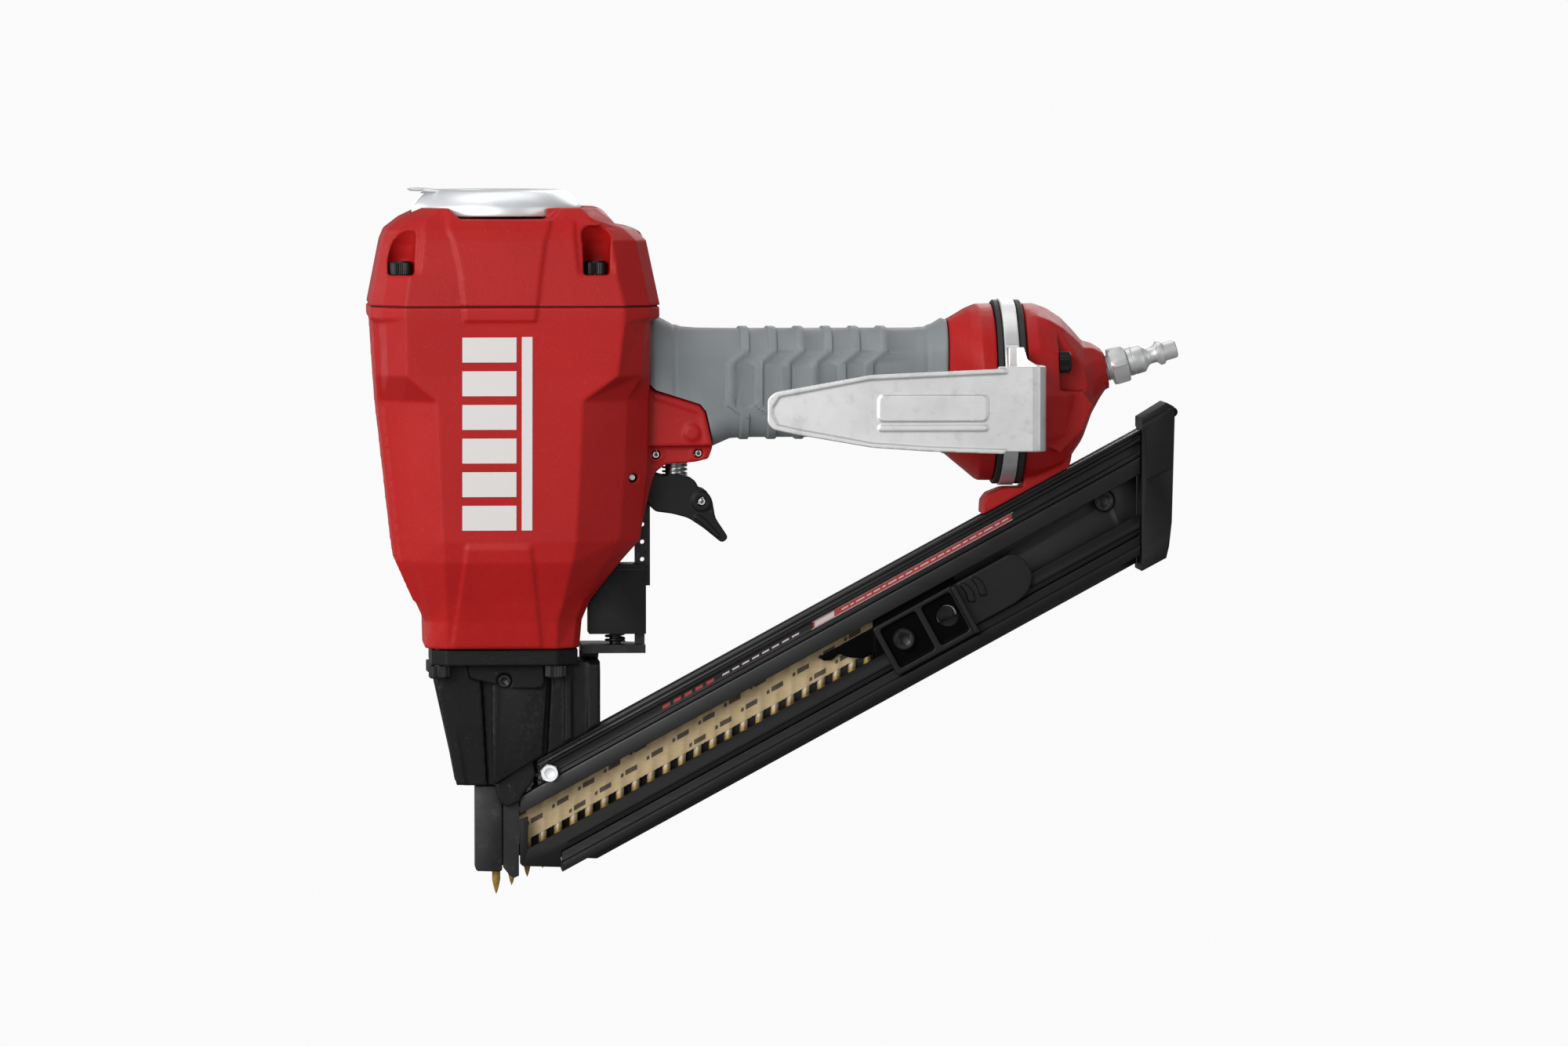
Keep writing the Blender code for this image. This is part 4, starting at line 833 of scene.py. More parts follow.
def make_cap_hardware():
    outer = [(p[0] + (0.75 if p[0] < DRIVE_X else -0.75), p[1] * 0.984) for p in creased(BODY_SECTIONS[0])]
    gasket = prism_z(outer, HOUSING_TOP + 0.42, CAP_BOTTOM - 0.62)
    tools = [rod((DRIVE_X, 0, 20), (DRIVE_X, 0, 40), CAVITY_R, 64)]
    for sx in (-1, 1):
        for sy in (-1, 1):
            x, y = DRIVE_X + sx * CAP_BOLT_DX, sy * CAP_BOLT_DY
            tools.append(rod((x, y, 25.0), (x, y, 40.0), 2.4, 20))
    piece("cap_gasket_sheet", cut(gasket, *tools), SEAL, "tool_body", "cap_gasket", bevel=0.12, segs=2)
    names = iter(("cap_bolt_front_left", "cap_bolt_rear_left", "cap_bolt_front_right", "cap_bolt_rear_right"))
    for sx in (-1, 1):
        for sy in (-1, 1):
            x, y = DRIVE_X + sx * CAP_BOLT_DX, sy * CAP_BOLT_DY
            name = next(names)
            piece(name + "_screw", socket_screw((x, y, 44.0), (0, 0, 1), 4.2, 5.2, 2.1, 28.0, 2.2, 2.6),
                  BLACK_OXIDE, "tool_body", name)


def make_deflector():
    t = 1.2
    top = 77.4
    outer = [(33.0, 67.4), (34.3, 67.1), (34.45, 67.9), (34.4, 70.2), (33.8, 71.6), (32.6, 73.3), (31.0, 75.0),
             (29.4, 76.3), (27.6, 77.1), (25.6, top), (17.0, top), (15.2, top - 0.3), (13.8, top - 1.2),
             (12.2, top - 3.0), (10.9, top - 4.0), (9.6, 73.2), (3.3, 73.2)]
    inner = [(3.3, 71.9), (10.0, 71.9), (11.6, 72.5), (13.4, 74.2), (14.8, top - t - 0.5), (16.6, top - t),
             (25.2, top - t), (26.9, top - t - 0.3), (28.6, 75.1), (30.1, 73.9), (31.6, 72.3), (32.7, 70.9), (33.1, 69.8)]
    cup = lathe(outer + inner, (DRIVE_X, 0, 0), (0, 0, 1), 160)
    window = loft([[(-135.5, -7.0, 66.0), (-135.5, 7.0, 66.0), (-165.0, 11.0, 66.0), (-165.0, -11.0, 66.0)],
                   [(-135.5, -7.0, 75.9), (-135.5, 7.0, 75.9), (-165.0, 11.0, 75.9), (-165.0, -11.0, 75.9)]])
    cup = cut(cup, window)
    # rolled lip over the open side
    lip = []
    for k in range(33):
        a = math.radians(180 - 34 + 68 * k / 32)
        c, s = math.cos(a), math.sin(a)
        sec = []
        for r, z in ((27.0, top - 0.9), (34.0, top - 0.5), (35.0, top - 0.1), (35.2, top + 0.4), (34.4, top + 0.5),
                     (27.0, top - 0.02)):
            sec.append((DRIVE_X + r * c, r * s, z))
        lip.append(sec)
    cup = union(cup, loft(lip))
    piece("exhaust_deflector_pressing", cup, ZINC, "deflector", "exhaust_deflector", bevel=0.22,
          segs=2, limit=40)
    piece("deflector_screw_head", socket_screw((DRIVE_X, 0, 73.3), (0, 0, 1), 5.4, 3.1, 2.5, 15.0, 2.3, 1.9, knurl=0.0),
          BLACK_OXIDE, "tool_body", "deflector_screw")


def make_graphic():
    """Plain white blocks and one upright bar, printed on the near face."""
    def decal(name, outline_rows, mat):
        rings = []
        for z, x0, x1 in outline_rows:
            y = face_y(z)
            rings.append([(x0, -(y - 0.25), z), (x1, -(y - 0.25), z), (x1, -(y + 0.14), z), (x0, -(y + 0.14), z)])
        piece(name, loft(rings), mat, "tool_body")
    z_top, z_low = 19.5, -57.1
    x0, x1 = -135.3, -113.9
    count = 6
    pitch = (z_top - z_low) / (count - 0.26)
    for i in range(count):
        top_z = z_top - i * pitch
        low_z = top_z - pitch * 0.74
        levels = sorted(set([top_z, low_z] + [top_z + (low_z - top_z) * k / 6 for k in range(1, 6)] +
                            [zb for zb in (4.0, -6.0, -33.5) if low_z < zb < top_z]), reverse=True)
        clean = [levels[0]]
        for z in levels[1:]:
            if clean[-1] - z > 0.05:
                clean.append(z)
        decal("body_graphic_bar_%d" % (i + 1), [(z, x0, x1) for z in clean], WHITE_INK)
    rows = [(z, -111.8, -107.6) for z in sorted(set([z_top + 0.2, 4.0, -6.0, -33.5, z_low] +
                                                    [z_top - 3.0 * k for k in range(1, 25)]), reverse=True)]
    decal("body_graphic_line", rows, WHITE_INK)


# ================================================================ handle end
GRIP_KEYS = [(GRIP_X0, 20.0, 27.5, -27.5, 12.5), (-57.5, 19.9, 27.2, -27.3, 12.4), (-54.5, 19.3, 25.9, -26.8, 12.0),
             (-50.0, 18.2, 23.6, -26.3, 11.8), (-46.0, 17.3, 22.3, -25.9, 11.5), (-40.0, 16.9, 21.8, -25.8, 11.5),
             (-34.0, 16.8, 21.7, -25.4, 11.5), (-30.0, 16.8, 21.65, -23.6, 11.5), (-27.0, 16.8, 21.6, -22.3, 11.5),
             (-22.0, 16.8, 21.6, -21.9, 11.5), (47.0, 16.8, 21.6, -21.8, 11.5), (51.0, 17.2, 22.0, -22.8, 11.7),
             (55.0, 18.2, 23.2, -24.8, 12.0), (57.5, 19.4, 24.6, -27.0, 12.5), (58.9, 20.3, 25.5, -28.8, 13.0),
             (GRIP_X1, 20.4, 25.6, -29.0, 13.0)]


def smooth_key(x, col):
    xs = [k[0] for k in GRIP_KEYS]
    return float(np.interp(x, xs, [k[col] for k in GRIP_KEYS]))


def rib_shift(z):
    """Sideways shift of a zigzag finger rib at height z."""
    t = np.clip((12.0 - z) / 4.6, 0, 1) if z > -2 else np.clip((z + 12.6) / 3.6, 0, 1)
    return -5.7 * float(t)


def make_grip():
    x_values = np.arange(GRIP_X0, GRIP_X1 + 0.01, 0.45)
    n = 150
    rings = []
    for x in x_values:
        half_y, top, bottom, corner = (smooth_key(x, c) for c in (1, 2, 3, 4))
        cz = (top + bottom) / 2
        base = resample(rounded(half_y, (top - bottom) / 2, corner, cz, steps=12), n)
        pts = []
        for y, z in base:
            lift = 0.0
            if -36 < x < 50:
                for k in range(6):
                    xc = -21.4 + 11.1 * k
                    centre = xc + rib_shift(z - 0.3)
                    d = abs(x - centre)
                    if d < 2.3:
                        lift = max(lift, 0.85 * float(np.clip((2.05 - d) / 0.5, 0, 1)))
            if x < GRIP_X0 + 1.2:
                lift -= 0.5 * (GRIP_X0 + 1.2 - x) / 1.2
            if x > GRIP_X1 - 1.2:
                lift -= 0.5 * (x - GRIP_X1 + 1.2) / 1.2
            # shallow groove behind each flared end
            lift -= 0.3 * math.exp(-((x + 49.5) / 0.9) ** 2) + 0.3 * math.exp(-((x - 52.0) / 0.9) ** 2)
            r = math.hypot(y, z - cz)
            pts.append((x, y + lift * y / r, z + lift * (z - cz) / r))
        rings.append(pts)
    sleeve = loft(rings)
    bore = prism_x(rounded(13.9, 18.7, 9.1, steps=8), -70.0, 70.0)
    web = prism_y([(-66.0, -0.2), (-59.6, -0.2), (-57.1, -2.5), (-39.3, -8.2), (-36.9, -11.1), (-33.7, -24.8),
                   (-33.7, -50.0), (-66.0, -50.0)], -60.0, 60.0)
    cut_sleeve = boolean(sleeve, [bore, web], "DIFFERENCE")
    piece("grip_rubber_sleeve", cut_sleeve, GRIP, "tool_body", "grip_sleeve", sharp=50)


def make_hook():
    axis = (1, 0, 0)
    for name, x, width in (("ring_gasket_front", 78.7, 2.2), ("ring_gasket_rear", 87.5, 2.5)):
        prof = [(RING_R_IN, 0.1), (RING_R_IN + 0.1, 0), (36.5, 0), (37.0, 0.45), (37.0, width - 0.45), (36.5, width),
                (RING_R_IN + 0.1, width), (RING_R_IN, width - 0.1)]
        piece(name + "_rubber", lathe(prof, (x, 0, RING_Z), axis, 128), SEAL, "tool_body", name)
    hook = ring((81.2, 0, RING_Z), axis, RING_R_OUT, RING_R_IN, 6.0, 128)
    strap = prism_z([(82.0, -31.5), (87.0, -31.5), (87.0, -36.8), (95.5, -43.5), (95.5, -50.0), (93.1, -50.0),
                     (93.1, -44.6), (85.8, -39.2), (82.0, -39.2)], 4.0, 15.0)
    standoff = prism_z([(95.5, -44.5), (95.5, -55.0), (94.6, -58.0), (92.6, -60.4), (89.8, -61.2), (76.0, -61.2),
                        (76.0, -58.8), (88.8, -58.8), (91.2, -58.0), (92.7, -56.2), (93.1, -53.5), (93.1, -44.5)],
                       -25.8, 8.0)
    outline = soften([(-15.5, -4.6), (-12.7, -1.9), (25.2, 4.8), (79.0, 7.2), (79.0, -26.6), (47.4, -25.4),
                      (26.1, -23.9), (-4.4, -18.6), (-13.4, -16.6), (-15.5, -14.2)], 1.6, 4)
    arm = prism_y(outline, HOOK_Y - 1.2, HOOK_Y + 1.2)
    # rolled rim round the arm and a plain raised block pattern near its root
    inner = [(p[0] + (1.9 if p[0] < 0 else (0 if p[0] > 70 else 0.0)), p[1] + (-1.7 if p[1] > -10 else 1.7)) for p in
             [(-15.5, -6.4), (-12.7, -1.9), (25.2, 4.8), (79.5, 7.2), (79.5, -26.6), (47.4, -25.4),
              (26.1, -23.9), (-4.4, -18.6), (-13.4, -16.6), (-15.5, -12.6)]]
    rim = cut(prism_y(outline, HOOK_Y - 1.6, HOOK_Y - 1.0), prism_y(inner, HOOK_Y - 3.0, HOOK_Y))
    strap = cut(strap, prism_y([(87.5, 17.5), (98.5, 17.5), (98.5, 7.6), (92.5, 8.2), (89.5, 10.2)], -60.0, -36.0))
    emboss = []
    emboss.append(prism_y(soften([(28.6, -13.4), (71.5, -13.4), (71.5, -3.4), (28.6, -3.4)], 2.2, 5),
                          HOOK_Y - 1.55, HOOK_Y - 1.0))
    emboss.append(prism_y(soften([(28.6, -17.2), (71.5, -17.2), (71.5, -15.2), (28.6, -15.2)], 0.9, 3),
                          HOOK_Y - 1.55, HOOK_Y - 1.0))
    body = union(hook, strap, standoff, arm, rim, *emboss)
    piece("belt_hook_pressing", body, HOOK, "hook", "belt_hook", voxel=0.34, relax=3, keep=0.4)


def facet(a, share, n=12):
    """Radius factor that turns a round section into a many-sided one with soft creases."""
    seg = (a % (2 * math.pi / n)) - math.pi / n
    return 1.0 - share + share * math.cos(math.pi / n) / math.cos(seg) * 1.012


def make_end_cap():
    axis = (1, 0, 0)
    rings = []
    for x, cz, rz, ry in ((90.3, RING_Z, 34.9, 34.9), (90.9, RING_Z, 35.5, 35.5), (95.4, RING_Z, 35.4, 35.4),
                          (101.0, RING_Z - 0.2, 33.4, 33.2),
                          (106.6, -4.8, 30.2, 30.2), (111.0, -4.4, 25.4, 25.6), (115.0, -3.8, 20.2, 20.8),
                          (119.0, 1.0, 14.4, 13.6), (122.6, 3.2, 10.0, 10.0), (124.8, 3.4, 6.9, 7.6)):
        share = 0.0 if x < 92 else (0.5 if x < 97 else 1.0)
        ring_points = []
        for i in range(96):
            a = 2 * math.pi * i / 96
            k = facet(a, share)
            ring_points.append((x, ry * k * math.cos(a), cz + rz * k * math.sin(a)))
        rings.append(ring_points)
    dome = loft(rings)
    hub = lathe([(0, 0), (HUB_R_OUT, 0), (HUB_R_OUT, 14.0), (0, 14.0)], (78.9, 0, RING_Z), axis, 72)
    plug_dir = Vector((math.cos(PLUG_TILT), 0, math.sin(PLUG_TILT)))
    base = Vector((PLUG_BASE[0], 0, PLUG_BASE[1]))
    boss = rod(base - plug_dir * 16.0, base - plug_dir * 2.0, 7.4, 40)
    boss_lip = rod(base - plug_dir * 4.6, base - plug_dir * 2.0, 7.9, 40)
    foot = prism_y([(92.0, -22.0), (90.7, -42.2), (83.1, -42.4), (76.9, -44.8), (74.8, -47.6), (74.4, mz(74.4, 23.9)),
                    (109.5, mz(109.5, 23.9)), (110.6, -29.4), (109.0, -20.0)], -9.5, 9.5)
    # flat-topped saddle over the plug boss
    saddle = [prism_y([(103.0, 20.0), (113.8, 15.6), (121.6, 11.6), (125.2, 7.4), (112.0, 4.0), (100.0, 8.0)], -5.0, 5.0)]
    for s in (-1, 1):
        saddle.append(prism_y([(96.0, 6.0), (108.6, 2.2), (117.2, -8.6), (113.0, -19.0), (104.0, -27.6), (96.0, -24.0)],
                              s * 20.6, s * 26.4))
    cap = union(dome, hub, boss, boss_lip, foot, *saddle)
    tools = [lathe([(0, 0), (HUB_R_IN, 0), (HUB_R_IN, 22.0), (16.0, 32.0), (9.0, 34.0), (0, 34.0)],
                   (76.0, 0, RING_Z), axis, 48),
             rod(base - plug_dir * 30.0, base + plug_dir * 5.0, 3.2, 24),
             rod(base - plug_dir * 11.0, base + plug_dir * 5.0, 5.6, 32)]
    for sy in (-1, 1):
        tools.append(rod((77.0, sy * 24.6, 8.5), (112.0, sy * 24.6, 8.5), 2.3, 20))
        lo, hi = sorted((sy * 19.8, sy * 50.0))
        tools.append(prism_y([(103.4, -2.6), (103.4, 20.0), (106.5, 21.5), (118.0, 10.5), (118.0, -1.0), (112.0, -3.4)],
                             lo, hi))
    piece("end_cap_shell", cut(cap, *tools), RED, "tool_body", "end_cap",
          voxel=0.55, relax=4, keep=0.42)
    for sy, name in ((-1, "end_cap_bolt_near"), (1, "end_cap_bolt_far")):
        piece(name + "_screw", socket_screw((103.4, sy * 24.6, 8.5), axis, 4.05, 4.7, 2.0, 31.0, 2.1, 2.4),
              BLACK_OXIDE, "tool_body", name)

    # one turned profile: thread, hexagon, barrel, neck, groove and tip
    rows = [(0, -10.6), (5.0, -10.6)]
    h = -10.0
    while h < 0.0:
        rows += [(5.2, h + 0.25), (4.75, h + 0.7)]
        h += 0.9
    first = len(rows) + 1
    rows += [(4.9, 0.8), (7.35, 0.8), (8.4, 1.7), (8.4, 6.3), (7.35, 7.2), (5.3, 7.2), (5.3, 7.5), (5.8, 8.0), (5.8, 9.6),
             (5.55, 9.9), (5.8, 10.2), (5.8, 13.8), (5.5, 14.3), (4.2, 15.5), (3.5, 16.4), (3.4, 17.0), (3.4, 19.0),
             (3.55, 19.6), (4.6, 20.4), (5.0, 20.9), (5.0, 22.2), (4.85, 22.5), (4.1, 23.1), (3.95, 23.5), (3.95, 27.4),
             (3.8, 27.9), (3.3, 28.3), (2.7, 28.3), (2.5, 28.0), (2.5, 18.0), (0, 18.0)]

    def hex_wobble(n, i, a, r):
        seg = ((a - math.radians(30)) % (math.pi / 3)) - math.pi / 6
        flat = 8.4 * math.cos(math.pi / 6) / math.cos(seg)
        return min(r, flat) if first <= n <= first + 3 else r
    plug = lathe(rows, base, plug_dir, 96, wobble=hex_wobble)
    piece("air_plug_fitting", plug, NICKEL, "tool_body", "air_plug", sharp=32)


# ======================================================================== nose
def make_nose():
    flange_pts = [(-141.5, -25.0), (-97.0, -25.0), (-88.5, -18.0), (-88.5, 18.0), (-97.0, 25.0), (-141.5, 25.0),
                  (-147.1, 19.0), (-147.1, -19.0)]
    flange = prism_z(flange_pts, -112.0, HOUSING_BOTTOM - 0.4)
    rings = []
    for z, xl, xr, yh, ch in ((-111.0, -146.6, -79.2, 14.3, 5.0), (-116.0, -146.3, -79.1, 14.3, 5.0),
                              (-136.2, -141.9, -79.1, 13.4, 4.5), (-161.0, -136.4, -79.1, 11.6, 3.5)):
        rings.append([(xl + ch, -yh, z), (xr - ch, -yh, z), (xr, -yh + ch, z), (xr, yh - ch, z),
                      (xr - ch, yh, z), (xl + ch, yh, z), (xl, yh - ch, z), (xl, -yh + ch, z)])
    body = loft(rings)
    under = prism_y([(-120.7, -160.8), (-107.2, mz(-107.2, 23.9)), (-60.0, mz(-60.0, 23.9)), (-60.0, -170.0),
                     (-160.0, -170.0), (-160.0, -160.8)], -40, 40)
    shoulder = box(-88.4, -70.0, -30.0, 30.0, -109.3, -100.0)
    extras = [flange]
    for s in (-1, 1):
        # thick brow under the flange, and the two upright ribs of the right-hand column
        brow = soften([(-133.0, -111.0), (-104.5, -111.0), (-100.5, -114.0), (-101.2, -118.2), (-103.0, -121.4),
                       (-114.0, -121.8), (-131.4, -117.6)], 1.0, 3)
        lo, hi = sorted((s * 13.2, s * 16.6))
        if s < 0:
            extras.append(prism_y(brow, lo, hi))
        rib = [(-93.6, -112.0), (-90.8, -112.0), (-90.8, mz(-90.8, 25.0)), (-93.6, mz(-93.6, 25.0))]
        lo, hi = sorted((s * 12.8, s * 15.2))
        extras.append(prism_y(rib, lo, hi))
        rib = [(-84.4, -112.0), (-79.6, -112.0), (-79.6, mz(-79.6, 24.6)), (-84.4, mz(-84.4, 24.6))]
        lo, hi = sorted((s * 8.0, s * 14.7))
        extras.append(prism_y(rib, lo, hi))
        lo, hi = sorted((s * 11.0, s * 14.4))
        extras.append(loft([[(-146.0, lo, -112.0), (-141.2, lo, -112.0), (-141.2, hi, -112.0), (-146.0, hi, -112.0)],
                            [(-136.8, lo * 0.86, -160.6), (-133.0, lo * 0.86, -160.6), (-133.0, hi * 0.86, -160.6),
                             (-136.8, hi * 0.86, -160.6)]]))
    nose = union(body, *extras)
    tools = [under, shoulder,
             rod((DRIVE_X, 0, -100.0), (DRIVE_X, 0, -170.0), 3.3, 32),
             box(-118.8, -107.6, -8.0, 30.0, -170.0, -153.0),
             prism_y([(-127.0, -121.6), (-99.0, -121.6), (-101.5, -170.0), (-124.0, -170.0)], -30.0, -10.2),
             prism_y([(-127.0, -114.6), (-99.0, -114.6), (-99.0, -122.0), (-127.0, -122.0)], -14.9, -10.2)]
    for sx in (-1, 1):
        for sy in (-1, 1):
            x, y = DRIVE_X + sx * NOSE_BOLT_DX, sy * NOSE_BOLT_DY
            tools.append(rod((x, y, -100.0), (x, y, -113.0), 2.1, 20))
            tools.append(rod((x, y, -112.0), (x, y, -121.5), 5.2, 28))
    tools.append(rod((-117.8, -20.0, -118.6), (-117.8, -4.5, -118.6), 3.1, 24))
    # lug beside the nose block on the near side, and the ear that closes the far side
    lug = prism_y(soften([(-121.2, -160.4), (-113.0, -154.6), (-106.6, -150.6), (-105.2, -156.6), (-106.6, -160.2),
                          (-110.2, -164.4), (-111.4, -167.3), (-116.2, -169.7), (-118.7, -168.4), (-120.3, -165.6)],
                         0.5, 2), -11.3, -8.7)
    stem = prism_y([(-121.0, -160.4), (-106.6, -156.0), (-106.6, -146.0), (-121.0, -150.0)], -10.0, -8.7)
    ear = prism_y([(-118.2, -161.6), (-107.4, -161.6), (-107.4, -150.0), (-100.0, -144.5), (-99.0, -164.0),
                   (-104.0, -176.0), (-118.2, -179.0)], 8.8, 11.0)
    nose = union(cut(nose, *tools), lug, stem, ear)
    piece("nose_casting_body", nose, BLACK_CAST, "tool_body", "nose_casting",
          voxel=0.46, relax=3, keep=0.4)
    names = iter(("nose_bolt_front_left", "nose_bolt_rear_left", "nose_bolt_front_right", "nose_bolt_rear_right"))
    for sx in (-1, 1):
        for sy in (-1, 1):
            x, y = DRIVE_X + sx * NOSE_BOLT_DX, sy * NOSE_BOLT_DY
            name = next(names)
            piece(name + "_screw", socket_screw((x, y, -112.0), (0, 0, -1), 4.15, 4.9, 1.8, 17.0, 2.2, 2.4),
                  BLACK_OXIDE, "tool_body", name)
    plate = prism_y([(-122.6, -115.6), (-100.4, -115.6), (-102.6, mz(-102.6, 24.6)), (-120.8, -159.8),
                     (-122.4, -159.8)], -14.5, -10.5)
    plate = cut(plate, rod((-117.8, -20.0, -118.6), (-117.8, -4.5, -118.6), 1.6, 24))
    piece("nose_cover", plate, BLACK_CAST, "tool_body", "nose_cover_plate", bevel=0.7, segs=4)
    piece("nose_cover_screw_head", socket_screw((-117.8, -14.6, -118.6), (0, -1, 0), 2.8, 2.1, 1.3, 9.0, 1.4, 1.3,
                                                knurl=0.0), BLACK_OXIDE, "tool_body", "nose_cover_screw")
    block = cut(prism_y([(-129.1, -161.2), (-118.4, -161.2), (-118.4, -195.2), (-119.4, -195.9), (-128.4, -195.6),
                         (-129.1, -194.8)], -7.3, 7.3),
                box(-124.0, -110.0, -3.4, 3.4, -150.0, -210.0))
    piece("nose_block_steel", block, BLACK_STEEL, "tool_body", "nose_block", bevel=0.45, segs=3)


# =========================================================== trigger and valve
def make_trigger():
    px, pz = TRIGGER_PIVOT
    outline = soften([(-57.1, -36.0), (-53.1, -37.3), (-48.7, -36.2), (-41.2, -38.7), (-39.4, -42.2), (-36.8, -42.7),
                      (-34.1, -46.6), (-32.8, -54.1), (-27.5, -62.1), (-30.1, -64.3), (-32.8, -62.1), (-37.7, -58.1),
                      (-43.8, -54.1), (-50.1, -52.4), (-57.1, -51.5), (-62.0, -45.5), (-67.0, -41.0), (-69.6, -39.6),
                      (-70.3, -37.3), (-69.4, -34.8), (-67.0, -33.7), (-63.0, -33.9)], 1.5, 4)
    inside = [(-75.0, -30.0), (-35.2, -30.0), (-35.3, -46.0), (-34.9, -54.6), (-33.2, -58.2), (-36.0, -56.2),
              (-42.9, -51.7), (-49.6, -49.9), (-55.8, -49.2), (-58.4, -56.0), (-75.0, -56.0)]
    bosses = []
    for s in (-1, 1):
        bosses.append(lathe([(0, 0), (4.1, 0), (3.8, 0.7), (0, 0.7)], (LEVER_PIN[0], s * 7.8, LEVER_PIN[1]), (0, s, 0), 36))
        # raised ridge along the finger blade
        ridge = soften([(-40.0, -52.8), (-36.6, -55.0), (-33.6, -58.4), (-31.0, -61.4), (-31.9, -62.0), (-34.8, -59.4),
                        (-38.2, -56.2), (-41.4, -54.0)], 0.8, 3)
        lo, hi = sorted((s * 7.6, s * 8.5))
        bosses.append(prism_y(ridge, lo, hi))
    trigger = cut(union(prism_y(outline, -8.0, 8.0), *bosses), prism_y(inside, -6.2, 6.2),
                  rod((px, -20, pz), (px, 20, pz), 1.6, 24),
                  rod((LEVER_PIN[0], -20, LEVER_PIN[1]), (LEVER_PIN[0], 20, LEVER_PIN[1]), 1.8, 24))
    piece("trigger_moulding", trigger, BLACK_PLASTIC, "trigger_body", "trigger",
          voxel=0.3, relax=3, keep=0.4)

    def pin(name, x, z, half, r, body):
        prof = [(0, -half), (r - 0.25, -half), (r, -half + 0.3), (r, half - 0.3), (r - 0.25, half), (0, half)]
        piece(name + "_turned", lathe(prof, (x, 0, z), (0, 1, 0), 36), STEEL, body, name)
    pin("trigger_pivot_pin", px, pz, 18.0, 1.35, "tool_body")

    def roll_pin(name, x, z, half, r, body):
        shell = lathe([(r * 0.55, -half), (r - 0.15, -half), (r, -half + 0.25), (r, half - 0.25), (r - 0.15, half),
                       (r * 0.55, half)], (x, 0, z), (0, 1, 0), 36)
        slot = box(x - 0.25, x + 0.25, -30, 30, z, z + 3)
        piece(name + "_rolled", cut(shell, slot), STEEL, body, name)
    roll_pin("valve_roll_pin_front", -56.9, -28.5, 12.6, 1.35, "tool_body")
    roll_pin("valve_roll_pin_rear", -39.9, -28.0, 12.6, 1.35, "tool_body")
    roll_pin("trigger_lever_pin", LEVER_PIN[0], LEVER_PIN[1], 8.2, 1.5, "trigger_body")
    lx, lz = LEVER_PIN
    lever = prism_y([(-61.5, -43.9), (-61.5, -42.7), (-46.0, -42.7), (-40.6, -44.4), (-38.3, -44.8), (-36.4, -45.6),
                     (-35.6, -47.5), (-36.4, -49.4), (-38.3, -50.2), (-40.2, -49.4), (-41.2, -47.4), (-42.2, -45.8),
                     (-46.6, -43.9)], -2.8, 2.8)
    lever = cut(lever, rod((lx, -20, lz), (lx, 20, lz), 1.7, 24))
    piece("trigger_lever_pressing", lever, BLACK_STEEL, "lever_body", "trigger_lever", bevel=0.25,
          segs=3)
    body = lathe([(4.2, -31.6), (7.2, -31.6), (7.4, -31.4), (7.4, -30.9), (7.2, -30.7), (6.1, -30.5), (6.1, -26.2),
                  (7.4, -25.9), (7.4, -4.0), (2.8, -4.0), (2.8, -26.0), (4.2, -26.0)], (STEM_X, 0, 0), (0, 0, 1), 64)
    piece("trigger_valve_barrel", body, ALLOY, "tool_body", "trigger_valve_body")
    stem = lathe([(0, -39.2), (5.1, -39.2), (5.4, -39.0), (5.4, -38.4), (5.1, -38.2), (3.8, -38.2), (3.8, -30.0),
                  (2.4, -30.0), (2.4, -8.0), (0, -8.0)], (STEM_X, 0, 0), (0, 0, 1), 48)
    piece("trigger_valve_plunger", stem, STEEL, "valve_stem_body", "trigger_valve_stem")
    spring = coil((STEM_X, 0, -37.9), (0, 0, 1), 4.75, 0.42, 6.0, 4.0, 36, 12, ends=0.8)
    spring = piece("trigger_valve_coil", spring, WIRE, "tool_body", "trigger_valve_spring")
    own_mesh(spring)


